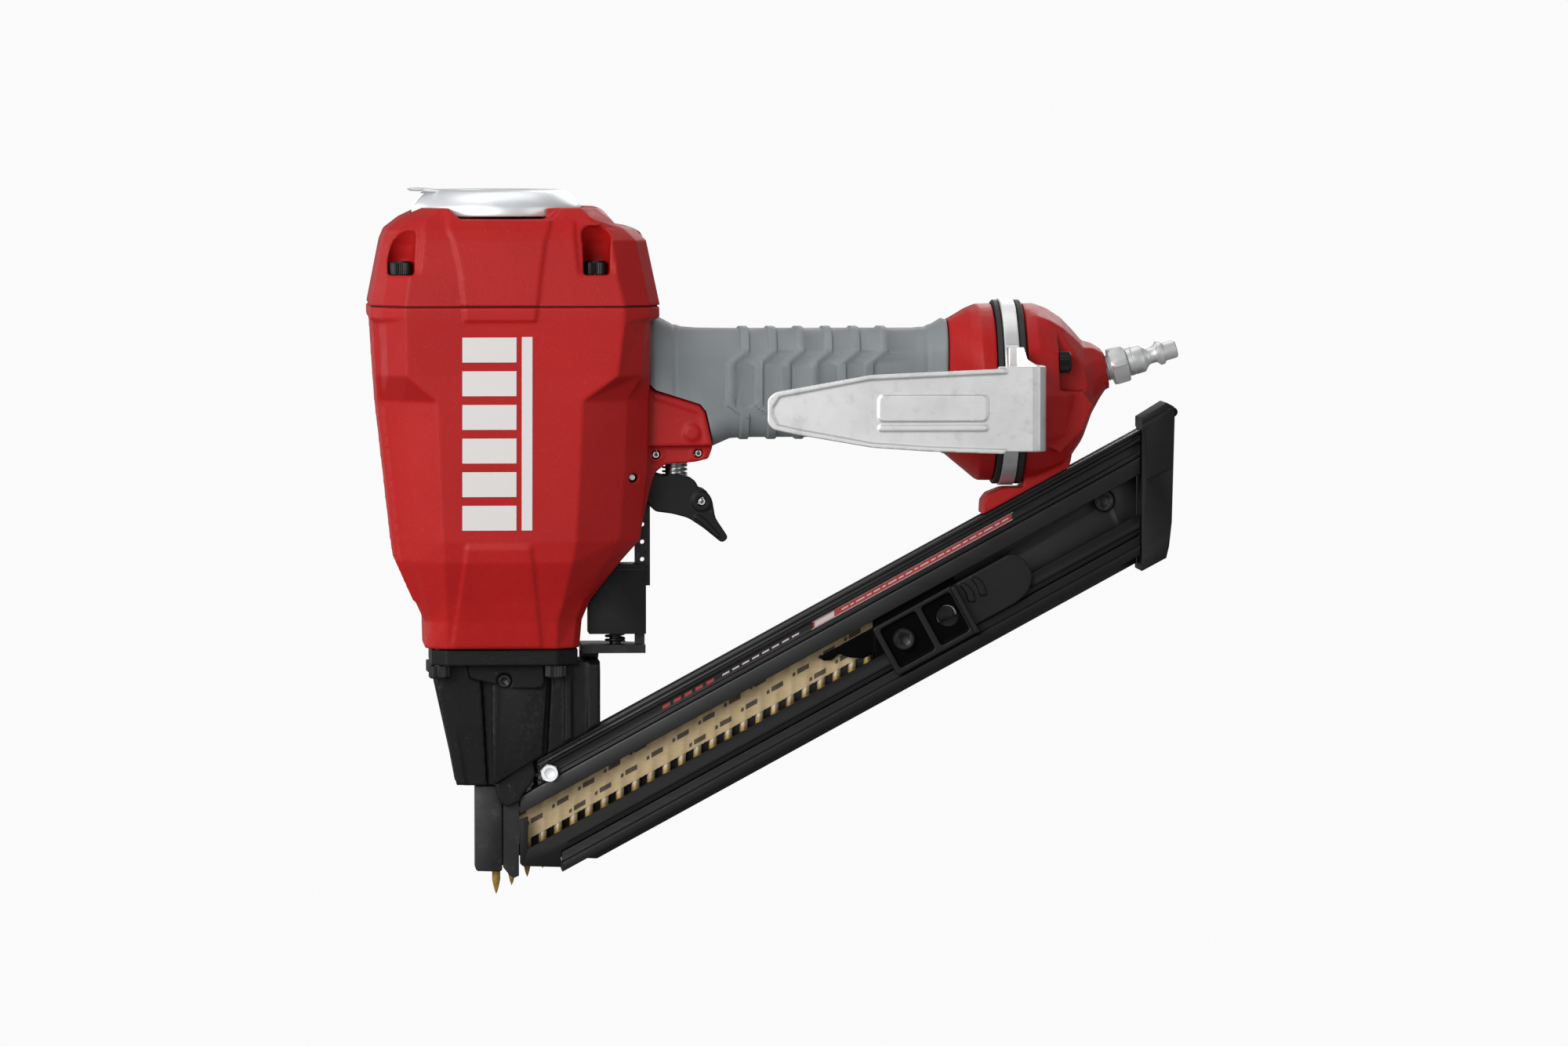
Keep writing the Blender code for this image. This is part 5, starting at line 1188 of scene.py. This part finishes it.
# ============================================================== safety linkage
def make_safety():
    guard = prism_y([(-71.9, -72.6), (-60.7, -72.6), (-60.7, -100.5), (-83.5, -100.5), (-83.5, -87.6),
                     (-82.3, -86.0)], -9.0, 9.0)
    lip = prism_y([(-72.2, -74.0), (-60.5, -74.0), (-60.5, -75.2), (-73.6, -75.2)], -9.3, 9.3)
    guard = cut(union(guard, lip), box(-65.5, -50.0, -2.2, 2.2, -110.0, -60.0),
                rod((SAFETY_SPRING_X, 0, -110.0), (SAFETY_SPRING_X, 0, -86.2), 4.5, 32))
    piece("safety_guard_moulding", guard, BLACK_PLASTIC, "tool_body", "safety_guard", bevel=0.55,
          segs=4)
    rail_ = prism_y([(-64.8, -44.4), (-58.7, -44.4), (-58.7, -81.5), (-60.9, -81.5), (-60.9, -106.0),
                     (-64.8, -106.0)], -1.5, 1.5)
    rail_ = cut(rail_, *[rod((-61.8, -9, z), (-61.8, 9, z), 0.9, 20) for z in (-50.0, -57.0, -64.0, -71.0)])
    foot = prism_z([(-86.3, -9.0), (-60.9, -9.0), (-60.9, 9.0), (-77.9, 18.6), (-86.3, 18.6)], -108.2, -104.9)
    post = rod((SAFETY_SPRING_X, 0, -106.0), (SAFETY_SPRING_X, 0, -98.0), 2.3, 24)
    link = prism_y([(-86.3, -105.2), (-78.0, -105.2), (-79.5, -118.5), (-106.5, -157.8), (-108.6, -159.9),
                    (-113.4, -159.9), (-113.4, -157.5), (-86.3, -118.0)], 16.2, 18.6)
    bar = box(-113.4, -108.6, -7.1, 18.4, -159.9, -157.5)
    arm_outline = [(-118.0, -163.5), (-113.2, -157.7), (-111.7, -157.7), (-111.7, -197.5), (-113.4, -198.3),
                   (-115.0, -197.9), (-118.0, -194.2)]
    slide = union(rail_, foot, post, link, bar, prism_y(arm_outline, -7.2, -4.6), prism_y(arm_outline, 4.6, 7.2))
    piece("safety_contact_steel", slide, BLACK_STEEL, "safety_body", "safety_contact", bevel=0.3,
          segs=2, limit=50)
    spring = coil((SAFETY_SPRING_X, 0, -104.5), (0, 0, 1), 3.6, 0.55, 18.0, 9.0, 32, 12, ends=1.0)
    spring = piece("safety_spring_coil", spring, WIRE_BLACK, "tool_body", "safety_spring")
    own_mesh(spring)


# ==================================================================== magazine
def rail(section, x0, x1):
    return loft([[(x, y, mz(x, v)) for y, v in section] for x in (x0, x1)])


def make_magazine():
    x1 = MAG_RIGHT_X
    top = rail([(-8.4, 14.3), (-8.4, 15.5), (-7.9, 15.9), (-6.9, 16.1), (-6.9, 18.9), (-7.9, 19.1), (-8.4, 19.5),
                (-8.4, 20.4), (-7.9, 20.7), (-6.6, 20.9), (-6.6, 22.0), (-7.4, 22.3), (-7.4, 23.3), (-4.2, 23.3),
                (-3.8, 22.9), (3.8, 22.9), (4.2, 23.3), (7.4, 23.3), (8.4, 22.3), (8.4, 14.3), (3.4, 14.3),
                (3.4, 19.0), (-3.4, 19.0), (-3.4, 14.3)], -104.0, x1)
    bx, bz = mg(32.9, 16.6)
    top = cut(top, rod((bx, -12, bz), (bx, -3.0, bz), 1.8, 24), rod((bx, -12, bz), (bx, -7.0, bz), 4.6, 32))
    piece("magazine_top_rail_extrusion", top, BLACK_ANOD, "tool_body", "magazine_top_rail",
          bevel=0.16, segs=2, limit=25)

    def hex_wobble(n, i, a, r):
        seg = (a % (math.pi / 3)) - math.pi / 6
        flat = 3.8 * math.cos(math.pi / 6) / math.cos(seg)
        return min(r, flat) if n in (3, 4, 5, 6) else r
    bolt = lathe([(0, -4.6), (1.5, -4.6), (1.5, 0), (3.3, 0), (3.8, 0.5), (3.8, 3.1), (3.3, 3.6), (2.1, 3.6), (1.9, 3.2),
                  (0, 2.9)], (bx, -8.7, bz), (0, -1, 0), 72, wobble=hex_wobble)
    piece("magazine_front_bolt_hex", bolt, ZINC, "tool_body", "magazine_front_bolt", bevel=0.12,
          segs=2, limit=40)
    face = rail([(-8.4, 7.6), (-8.4, 13.4), (-7.9, 14.0), (-5.4, 14.0), (-5.4, 7.6)], -111.3, x1)
    piece("magazine_face_plate_extrusion", face, BLACK_ANOD, "tool_body", "magazine_face_plate",
          bevel=0.3, segs=3)
    far = prism_y([(-111.3, mz(-111.3, 14.0)), (-111.3, -190.5), (-79.8, mz(-79.8, -24.4)), (x1, mz(x1, -24.4)),
                   (x1, mz(x1, 14.0))], 5.4, 8.4)
    rx, rz = mg(281.5, 4.2)
    far = cut(far, rod((rx, 0, rz), (rx, 20, rz), 2.4, 24))
    # shallow flutes along the outer wall
    flutes = [rail([(8.0, v), (8.0, v + 2.2), (9.4, v + 2.6), (9.4, v - 0.4)], -76.0, x1 - 4.0) for v in
              (-20.0, -13.0, 6.5)]
    piece("magazine_far_plate_extrusion", cut(far, *flutes), BLACK_ANOD, "tool_body", "magazine_far_plate",
          bevel=0.25, segs=2)
    piece("magazine_rear_bolt_screw", socket_screw((rx, 5.4, rz), (0, -1, 0), 4.35, 3.7, 2.1, 2.8, 2.2, 2.2),
          BLACK_OXIDE, "tool_body", "magazine_rear_bolt")
    guide = prism_y([(-111.3, mz(-111.3, 5.2)), (-108.1, mz(-108.1, 5.2)), (-108.1, mz(-108.1, -6.3)),
                     (x1, mz(x1, -6.3)), (x1, mz(x1, -13.4)), (-94.8, mz(-94.8, -13.4)),
                     (-94.8, -194.1), (-110.3, -193.6), (-111.3, -192.6)], -8.4, -5.4)
    # stamped bead along the lip
    bead = rail([(-8.2, -11.6), (-8.2, -10.6), (-9.0, -10.9), (-9.0, -11.3)], -92.0, x1 - 0.4)
    # the guide plate takes the darker anodised copy as painted shade
    piece("magazine_front_guide_plate", union(guide, bead), BLACK_ANOD_PAINTED_SHADE, "tool_body", "magazine_front_guide",
          bevel=0.3, segs=3, limit=40)
    lower = rail([(-10.5, -20.8), (-10.5, -18.0), (-9.9, -17.2), (-8.4, -17.2), (-8.4, -14.2), (-8.0, -13.8),
                  (-3.4, -13.8), (-3.4, -18.0), (5.1, -18.0), (5.1, -20.8)], -94.5, x1)
    slot_pts = [(-87.9, mz(-87.9, -17.4)), (-104.3, mz(-104.3, -17.4))]
    # the lower rail takes the darker anodised copy as painted shade
    piece("magazine_lower_rail_extrusion", lower, BLACK_ANOD_PAINTED_SHADE, "tool_body", "magazine_lower_rail",
          bevel=0.28, segs=3)
    cap = prism_y([(138.6, -14.4), (148.5, -8.3), (151.4, -9.8), (151.8, -12.5), (150.7, -56.1), (149.6, -66.0),
                   (148.5, -70.7), (138.6, -76.0)], -11.5, 11.5)
    folds = []
    for s in (-1, 1):
        lo, hi = sorted((s * 11.2, s * 12.4))
        # folded clip round the upper end and the band at the foot
        folds.append(prism_y([(138.4, -14.6), (148.4, -8.5), (151.0, -9.9), (151.5, -13.0), (151.1, -34.2),
                              (140.4, -38.9), (140.0, -19.6), (138.4, -18.6)], lo, hi))
        folds.append(prism_y([(138.4, -69.6), (149.0, -64.6), (148.4, -70.6), (138.4, -75.9)], lo, hi))
    folds.append(rod((152.0, -3.4, -12.4), (152.0, 3.4, -12.4), 1.9, 28))
    folds.append(box(149.0, 152.0, -3.0, 3.0, -13.9, -10.9))
    tools = [prism_y([(138.0, -16.9), (148.6, -10.9), (149.0, -11.5), (138.0, -17.7)], s * 12.0, s * 13.0)
             for s in (-1,)]
    piece("magazine_end_cap_moulding", cut(union(cap, *folds), *tools), BLACK_PLASTIC, "tool_body",
          "magazine_end_cap", bevel=0.55, segs=4, limit=25)
    # printed strip in the upper groove: plain colour and plain dashes, no lettering
    strip = rail([(-6.8, 16.3), (-6.8, 18.7), (-7.06, 18.7), (-7.06, 16.3)], 6.5, 86.5)
    piece("rail_strip_red", strip, STRIP_RED, "tool_body")
    for v, nm in ((16.14, "lower"), (18.66, "upper")):
        edge = rail([(-6.8, v), (-6.8, v + 0.2), (-7.10, v + 0.2), (-7.10, v)], 6.0, 87.0)
        piece("rail_strip_edge_" + nm, edge, STRIP_PALE, "tool_body")
    badge = rail([(-6.8, 16.5), (-6.8, 18.5), (-7.14, 18.5), (-7.14, 16.5)], 7.2, 15.0)
    piece("rail_strip_badge", badge, STRIP_PALE, "tool_body")
    ticks, x, k = [], 18.0, 0
    while x < 84.0:
        w = (2.6, 1.4, 3.4, 1.9)[k % 4]
        ticks.append(rail([(-7.0, 17.3), (-7.0, 17.75), (-7.12, 17.75), (-7.12, 17.3)], x, x + w))
        x += w + 0.9
        k += 1
    piece("rail_strip_ticks", join(*ticks), STRIP_PALE, "tool_body")
    dashes = [rail([(-6.8, 16.9), (-6.8, 18.1), (-7.06, 18.1), (-7.06, 16.9)], -54.0 + 4.4 * i, -51.0 + 4.4 * i)
              for i in range(5)]
    piece("rail_strip_dashes", join(*dashes), STRIP_RED, "tool_body")
    dashes = [rail([(-6.8, 17.1), (-6.8, 17.7), (-7.06, 17.7), (-7.06, 17.1)], -30.0 + 4.0 * i, -27.2 + 4.0 * i)
              for i in range(8)]
    piece("rail_strip_dashes_pale", join(*dashes), STRIP_PALE, "tool_body")


# ====================================================================== pusher
def make_pusher():
    near = prism_y(soften(uv([(174.0, -16.4), (211.6, -16.4), (211.6, 5.2), (174.0, 5.2)]), 1.6, 3), -12.2, -8.8)
    fin = prism_y(uv([(209.3, -16.1), (211.3, -16.1), (211.3, 4.9), (209.3, 4.9)]), -16.0, -9.6)
    tail_points = [(209.8, -13.6), (229.6, -13.6), (233.6, -13.0), (236.8, -11.6), (239.4, -9.2), (241.0, -6.4),
                   (241.5, -3.4), (241.0, 0.6), (239.2, 3.4), (236.4, 5.0), (209.8, 5.0)]
    tail = prism_y(uv(tail_points), -11.0, -9.0)
    neck = prism_y(uv([(180.0, -6.0), (206.0, -6.0), (206.0, 4.6), (180.0, 4.6)]), -9.4, -4.0)
    front_x = 31.6
    block = prism_y([(front_x, mz(front_x, 12.5)), (front_x, mz(front_x, -12.5)), mg(213.0, -12.5),
                     mg(213.0, 12.5)], -4.6, 4.6)
    tongue = prism_y(uv([(150.0, 4.8), (151.2, 2.6), (154.0, 1.2), (158.0, 2.0), (161.0, -1.4), (166.0, -4.4),
                         (176.0, -4.4), (176.0, 4.8)]), -4.4, -2.8)
    parts = [near, fin, tail, neck, block, tongue]
    # divider and two wavy finger tabs
    parts.append(prism_y(uv([(193.2, -14.6), (194.6, -14.6), (194.6, 3.6), (193.2, 3.6)]), -11.9, -8.8))
    for k in (0, 1):
        u0 = 213.4 + 5.2 * k
        parts.append(prism_y(soften(uv([(u0, -4.0), (u0 + 2.4, -5.0), (u0 + 3.4, -1.0), (u0 + 2.4, 3.0), (u0, 4.4),
                                        (u0 + 0.8, 0.4)]), 1.0, 3), -12.0, -9.8))
    body = union(*parts)
    bx, bz = mg(183.3, -4.45)
    sx, sz = mg(203.2, -4.9)
    tools = [prism_y(soften(uv([(176.4, -14.2), (192.6, -14.2), (192.6, 3.4), (176.4, 3.4)]), 1.4, 3), -20.0, -9.8),
             prism_y(soften(uv([(195.2, -14.2), (208.4, -14.2), (208.4, 3.4), (195.2, 3.4)]), 1.4, 3), -20.0, -9.8),
             rod((bx, -20, bz), (bx, -3.0, bz), 2.4, 24),
             rod((sx, -4.0, sz), (sx, 20.0, sz), 6.7, 40),
             rod((sx, -20.0, sz), (sx, 0.0, sz), 4.3, 40)]
    # two rounded slots in the floor of the recess
    for (u0, v0, u1, v1) in ((184.5, 1.2, 191.4, 2.6), (178.2, -12.9, 186.0, -11.5)):
        tools.append(prism_y(soften(uv([(u0, v0), (u1, v0), (u1, v1), (u0, v1)]), 0.6, 3), -14.0, -9.9))
    piece("pusher_moulding", cut(body, *tools), PUSHER, "pusher_body", "pusher",
          voxel=0.3, relax=2, keep=0.35)
    piece("pusher_bolt_screw", socket_screw((bx, -10.6, bz), (0, -1, 0), 4.35, 3.1, 2.1, 6.0, 2.2, 2.0),
          BLACK_OXIDE, "pusher_body", "pusher_bolt")
    # clock spring: a flat band wound in a tight spiral
    rings = []
    turns, per = 7.0, 48
    for i in range(int(turns * per) + 1):
        a = 2 * math.pi * i / per
        r = 3.75 + (6.1 - 3.75) * i / (turns * per)
        c, s_ = math.cos(a), math.sin(a)
        sec = []
        for dr, y in ((-0.11, -3.4), (0.11, -3.4), (0.11, 4.2), (-0.11, 4.2)):
            sec.append((sx + (r + dr) * c, y, sz + (r + dr) * s_))
        rings.append(sec)
    piece("pusher_clock_spring", loft(rings), WIRE, "pusher_body", "pusher_coil_spring", sharp=45)


# ======================================================================= nails
def nail_mesh(x, top):
    profile = [(0, 0), (NAIL_HEAD_R - 0.15, 0), (NAIL_HEAD_R, -0.12), (NAIL_HEAD_R, -0.95), (NAIL_HEAD_R - 0.2, -1.1),
               (NAIL_SHANK_R + 0.1, -1.75), (NAIL_SHANK_R, -2.2)]
    h = -3.0
    while h > -9.0:                     # gripping rings under the head
        profile += [(NAIL_SHANK_R + 0.07, h), (NAIL_SHANK_R - 0.05, h - 0.45)]
        h -= 1.0
    profile += [(NAIL_SHANK_R, -9.6), (NAIL_SHANK_R, -NAIL_LENGTH + 6.2), (NAIL_SHANK_R * 0.86, -NAIL_LENGTH + 4.6),
                (NAIL_SHANK_R * 0.42, -NAIL_LENGTH + 1.6), (0.12, -NAIL_LENGTH + 0.15), (0, -NAIL_LENGTH)]
    return lathe(profile, (x, 0, top), (0, 0, 1), 28)


def make_nails():
    first_top = MAG_ORIGIN[1] + NAIL_LENGTH / 2
    piece("first_nail_turned", nail_mesh(DRIVE_X, first_top), NAIL, "nail_in_nose", "first_nail")
    rise = NAIL_PITCH_X * MAG_S / MAG_C
    row = [nail_mesh(DRIVE_X + NAIL_PITCH_X * i, first_top + rise * i) for i in range(1, NAIL_COUNT)]
    strip = piece("nail_strip_nails", join(*row), NAIL, "tool_body", "nail_strip")
    # paper tape on each side, drawn tight over the shanks
    x_left, x_right = DRIVE_X + NAIL_PITCH_X - 2.0, DRIVE_X + NAIL_PITCH_X * (NAIL_COUNT - 1) + 2.0
    steps = 24 * 16

    def wave(x):
        t = (x - DRIVE_X) / NAIL_PITCH_X
        c = 0.5 + 0.5 * math.cos(2 * math.pi * t)
        return 1.28 + 0.57 * c ** 1.5
    for s, nm in ((-1, "near"), (1, "far")):
        rings = []
        for i in range(steps + 1):
            x = x_left + (x_right - x_left) * i / steps
            y = wave(x)
            fray = 0.10 * math.sin(i * 1.7) * math.sin(i * 0.31)
            sec = []
            for v in np.linspace(-3.5 + fray, 9.6 + 0.5 * fray, 9):
                sec.append((x, s * (y + 0.11), mz(x, v)))
            for v in np.linspace(9.6 + 0.5 * fray, -3.5 + fray, 9):
                sec.append((x, s * (y - 0.07), mz(x, v)))
            rings.append(sec)
        piece("nail_tape_" + nm, loft(rings), KRAFT, "tool_body", "nail_strip")
    # small plain printed marks in a staggered pattern, no lettering
    marks = []
    for i in range(-3, 16):
        for j in range(-5, 6):
            u = 2.0 + 12.5 * i + 5.05 * j
            v = 0.2 + 1.23 * i - 4.94 * j
            if v < -3.1 or v > 7.4:
                continue
            x = MAG_ORIGIN[0] + u * MAG_C - v * MAG_S
            if x < x_left + 1.0 or x > x_right - 8.0:
                continue
            for dx, w, h in ((0.0, 1.15, 1.3), (1.9, 4.7, 1.8)):
                rings = []
                for k in range(7):
                    xx = x + dx + w * k / 6
                    y = wave(xx)
                    rings.append([(xx, -(y + 0.05), mz(xx, v)), (xx, -(y + 0.05), mz(xx, v + h)),
                                  (xx, -(y + 0.15), mz(xx, v + h)), (xx, -(y + 0.15), mz(xx, v))])
                marks.append(loft(rings))
    piece("nail_tape_marks", join(*marks), DARK_INK, "tool_body")


# =============================================== CAD nodes kept, with a finish
def make_head_spring():
    spring = coil((DRIVE_X, 0, 38.4), (0, 0, 1), 18.3, 1.0, 16.1, 3.5, 40, 12, ends=0.5)
    spring = piece("head_valve_coil", spring, WIRE, "tool_body", "head_valve_spring")
    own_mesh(spring)


def finish_cad():
    looks = {
        "cylinder_seal_upper": SEAL, "cylinder_seal_lower": SEAL, "bumper": SEAL, "piston_seal": SEAL,
        "head_valve": BLACK_PLASTIC, "cylinder_sleeve": ALLOY, "piston": ALLOY,
        "driver_blade": STEEL,
    }
    for name, mat in looks.items():
        mesh = frame["nodes"][name].data
        mesh.materials.clear()
        mesh.materials.append(mat)
    for name, obj in frame["nodes"].items():
        if not obj.hide_render and name not in looks:
            print("CAD node left with its plain finish:", name)


import time as _time
for _step in (make_housing, make_cap, make_cap_hardware, make_deflector, make_graphic, make_grip, make_hook,
              make_end_cap, make_nose, make_trigger, make_safety, make_magazine, make_pusher, make_nails, make_head_spring,
              finish_cad):
    _t = _time.time()
    _step()
    print("%s %.1f s" % (_step.__name__, _time.time() - _t))
# ------------------------------------------------------------ stage and camera
def make_stage():
    bm = bmesh.new()
    ringpts = [bm.verts.new((4.5 * math.cos(2 * math.pi * i / 96), 4.5 * math.sin(2 * math.pi * i / 96), -1.1))
               for i in range(96)]
    bm.faces.new(ringpts)
    mesh = bpy.data.meshes.new("floor")
    bm.to_mesh(mesh)
    bm.free()
    floor = bpy.data.objects.new("floor", mesh)
    bpy.context.scene.collection.objects.link(floor)
    mat = bpy.data.materials.new("floor_pale")
    mat.use_nodes = True
    b = mat.node_tree.nodes["Principled BSDF"]
    b.inputs["Base Color"].default_value = (0.80, 0.80, 0.80, 1)
    b.inputs["Roughness"].default_value = 0.95
    b.inputs["Specular IOR Level"].default_value = 0.0
    b.inputs["Emission Color"].default_value = (1.0, 1.0, 1.0, 1)
    b.inputs["Emission Strength"].default_value = 0.74
    mesh.materials.append(mat)
    floor.visible_diffuse = False
    floor.visible_glossy = False

    # soft white surround: bright behind the object, dimmer as a source of light
    world = bpy.data.worlds.new("studio")
    bpy.context.scene.world = world
    world.use_nodes = True
    tree = world.node_tree
    seen = tree.nodes["Background"]
    seen.inputs["Color"].default_value = (1.0, 1.0, 1.0, 1)
    seen.inputs["Strength"].default_value = 0.96
    glow = tree.nodes.new("ShaderNodeBackground")
    glow.inputs["Color"].default_value = (1.0, 1.0, 1.0, 1)
    glow.inputs["Strength"].default_value = 0.24
    path = tree.nodes.new("ShaderNodeLightPath")
    mixer = tree.nodes.new("ShaderNodeMixShader")
    tree.links.new(path.outputs["Is Camera Ray"], mixer.inputs[0])
    tree.links.new(glow.outputs[0], mixer.inputs[1])
    tree.links.new(seen.outputs[0], mixer.inputs[2])
    tree.links.new(mixer.outputs[0], tree.nodes["World Output"].inputs["Surface"])

    def area(name, loc, target, size, energy, size_y=None):
        data = bpy.data.lights.new(name, "AREA")
        data.energy, data.size = energy, size
        if size_y:
            data.shape, data.size_y = "RECTANGLE", size_y
        obj = bpy.data.objects.new(name, data)
        obj.location = loc
        obj.rotation_euler = (Vector(target) - Vector(loc)).to_track_quat("-Z", "Y").to_euler()
        bpy.context.scene.collection.objects.link(obj)
    area("key", (-1.10, -1.50, 0.62), (0, 0, -0.05), 1.2, 28.5, 1.1)
    area("front", (-0.75, -2.25, 0.22), (0, 0, -0.05), 1.9, 15.0, 1.3)
    area("fill", (1.30, -0.9, 0.25), (0, 0, -0.05), 0.9, 4.0, 1.1)
    area("side_left", (-1.7, -0.55, 0.25), (-0.05, 0, -0.05), 0.8, 9.0, 1.2)
    area("top", (-0.1, 0.15, 1.35), (0, 0, 0), 1.5, 6.5, 0.9)
    area("rim", (0.5, 1.3, 0.7), (0, 0, -0.05), 0.9, 6.5, 0.7)
    area("rear_left", (-1.2, 0.9, 0.2), (0, 0, -0.05), 0.6, 4.0, 1.0)

    cam_data = bpy.data.cameras.new("camera")
    cam_data.sensor_width, cam_data.lens = 36.0, 200.0
    cam = bpy.data.objects.new("camera", cam_data)
    bpy.context.scene.collection.objects.link(cam)
    a, e = math.radians(-4.0), math.radians(3.0)
    back = Vector((math.sin(a) * math.cos(e), -math.cos(a) * math.cos(e), math.sin(e)))
    centre = Vector((-4.7, 0.0, -56.7)) * MM
    distance = 0.315 / math.tan(math.atan(18.0 / 200.0))
    cam.location = centre + back * distance
    cam.rotation_euler = (-back).to_track_quat("-Z", "Y").to_euler()
    cam_data.clip_start, cam_data.clip_end = 0.05, 60.0
    bpy.context.scene.camera = cam
    bpy.context.scene.view_settings.view_transform = "Standard"
    bpy.context.scene.view_settings.look = "None"


make_stage()
